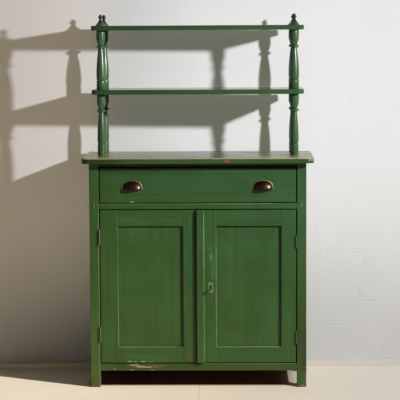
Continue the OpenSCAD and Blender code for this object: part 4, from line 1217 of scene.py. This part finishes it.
def pullPoint(i, j, shrink):
    # Column i runs from end to end, row j from the face at the top (0) round to the open foot
    w = pull["width"] / 2 - shrink
    out = pull["out"] - shrink
    axis = (pull["height"] ** 2 - pull["out"] ** 2) / (2 * pull["out"])
    a = math.pi * i / pull["columns"]
    reach = axis + out * math.sin(a)
    meet = math.acos(min(1, axis / reach))
    b = meet * (1 - j / pull["rows"])
    return Vector((-w * math.cos(a), axis - reach * math.cos(b), reach * math.sin(b)))


def addPull(side):
    name = "cup_pull_" + side
    low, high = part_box(name)
    at = Vector(((low.x + high.x) / 2, frontY, low.z))
    columns, rows = pull["columns"], pull["rows"]
    bm, layer = newMesh()
    skins = []
    for shrink in (0.0, pull["wall"]):
        skin = []
        for i in range(1, columns):
            line = []
            for j in range(rows + 1):
                worn = 0.75 if j > rows - 2 else 0.0
                line.append(newPoint(bm, layer, at + pullPoint(i, j, shrink), worn))
            skin.append(line)
        skins.append(skin)
    for n, skin in enumerate(skins):
        for a, b in zip(skin, skin[1:]):
            for j in range(rows):
                quad = (a[j], b[j], b[j + 1], a[j + 1])
                bm.faces.new(quad if n == 0 else quad[::-1])
    outer, inner = skins
    for (a, b), (c, d) in zip(zip(outer, outer[1:]), zip(inner, inner[1:])):
        bm.faces.new((a[-1], b[-1], d[-1], c[-1]))
        bm.faces.new((b[0], a[0], c[0], d[0]))
    for end in (0, -1):
        for j in range(rows):
            bm.faces.new((outer[end][j], outer[end][j + 1], inner[end][j + 1], inner[end][j]))
    flangeRing(bm, layer, at)
    newPiece(name, bm, enamel, 60, "drawer")


def flangeRing(bm, layer, at):
    # The thin lip that lies on the drawer's face round the cup
    columns = pull["columns"]
    rows = []
    for grow, depth, wear in ((-pull["wall"], 0.0, 0), (-pull["wall"], pull["flangeThick"], 0),
                              (pull["flange"] * 0.7, pull["flangeThick"], 1.3),
                              (pull["flange"], pull["flangeThick"] * 0.5, 1.1), (pull["flange"], 0.0, 0.6)):
        row = []
        for i in range(columns + 1):
            p = pullPoint(i, 0, 0)
            x = p.x * (1 + 2 * grow / pull["width"])
            z = max(0.0, p.z) * (1 + grow / pull["height"])
            row.append(newPoint(bm, layer, at + Vector((x, -depth, z)), wear))
        rows.append(row)
    bridge(bm, rows + rows[:1], closed=False)
    for end in (0, -1):
        bm.faces.new([row[end] for row in rows])


addDrawer()
addPull("left")
addPull("right")
print("drawer made")


# Hinges, lock and key

keyShank = {
    "from": -0.1845,  # the bow and the end of the shank lie in front of this
    "longer": 0.0095,  # the photographed key throws a longer shadow than the plain one
}


def lengthenKey():
    group = bpy.data.node_groups.new("longer shank", "GeometryNodeTree")
    for way in ("INPUT", "OUTPUT"):
        group.interface.new_socket("Geometry", in_out=way, socket_type="NodeSocketGeometry")
    make = group.nodes.new
    given, taken = make("NodeGroupInput"), make("NodeGroupOutput")
    place, parts = make("GeometryNodeInputPosition"), make("ShaderNodeSeparateXYZ")
    front, move = make("FunctionNodeCompare"), make("GeometryNodeSetPosition")
    front.operation = "LESS_THAN"
    front.inputs["B"].default_value = keyShank["from"]
    move.inputs["Offset"].default_value = (0, -keyShank["longer"], 0)
    for a, b in ((place.outputs[0], parts.inputs[0]), (parts.outputs["Y"], front.inputs["A"]),
                 (front.outputs[0], move.inputs["Selection"]), (given.outputs[0], move.inputs["Geometry"]),
                 (move.outputs[0], taken.inputs[0])):
        group.links.new(a, b)
    nodes["key"].modifiers.new("longer shank", "NODES").node_group = group


dress(hingePaint, "left_hinge_fixed_leaves", "left_hinge_door_leaves", "right_hinge_fixed_leaves",
      "right_hinge_door_leaves", "hinge_pins")
dress(steel, "lock_case", "lock_bolt")
lengthenKey()
dress(keySteel, "key")
dress(escutcheonPaint, "escutcheon")
print("fittings made")
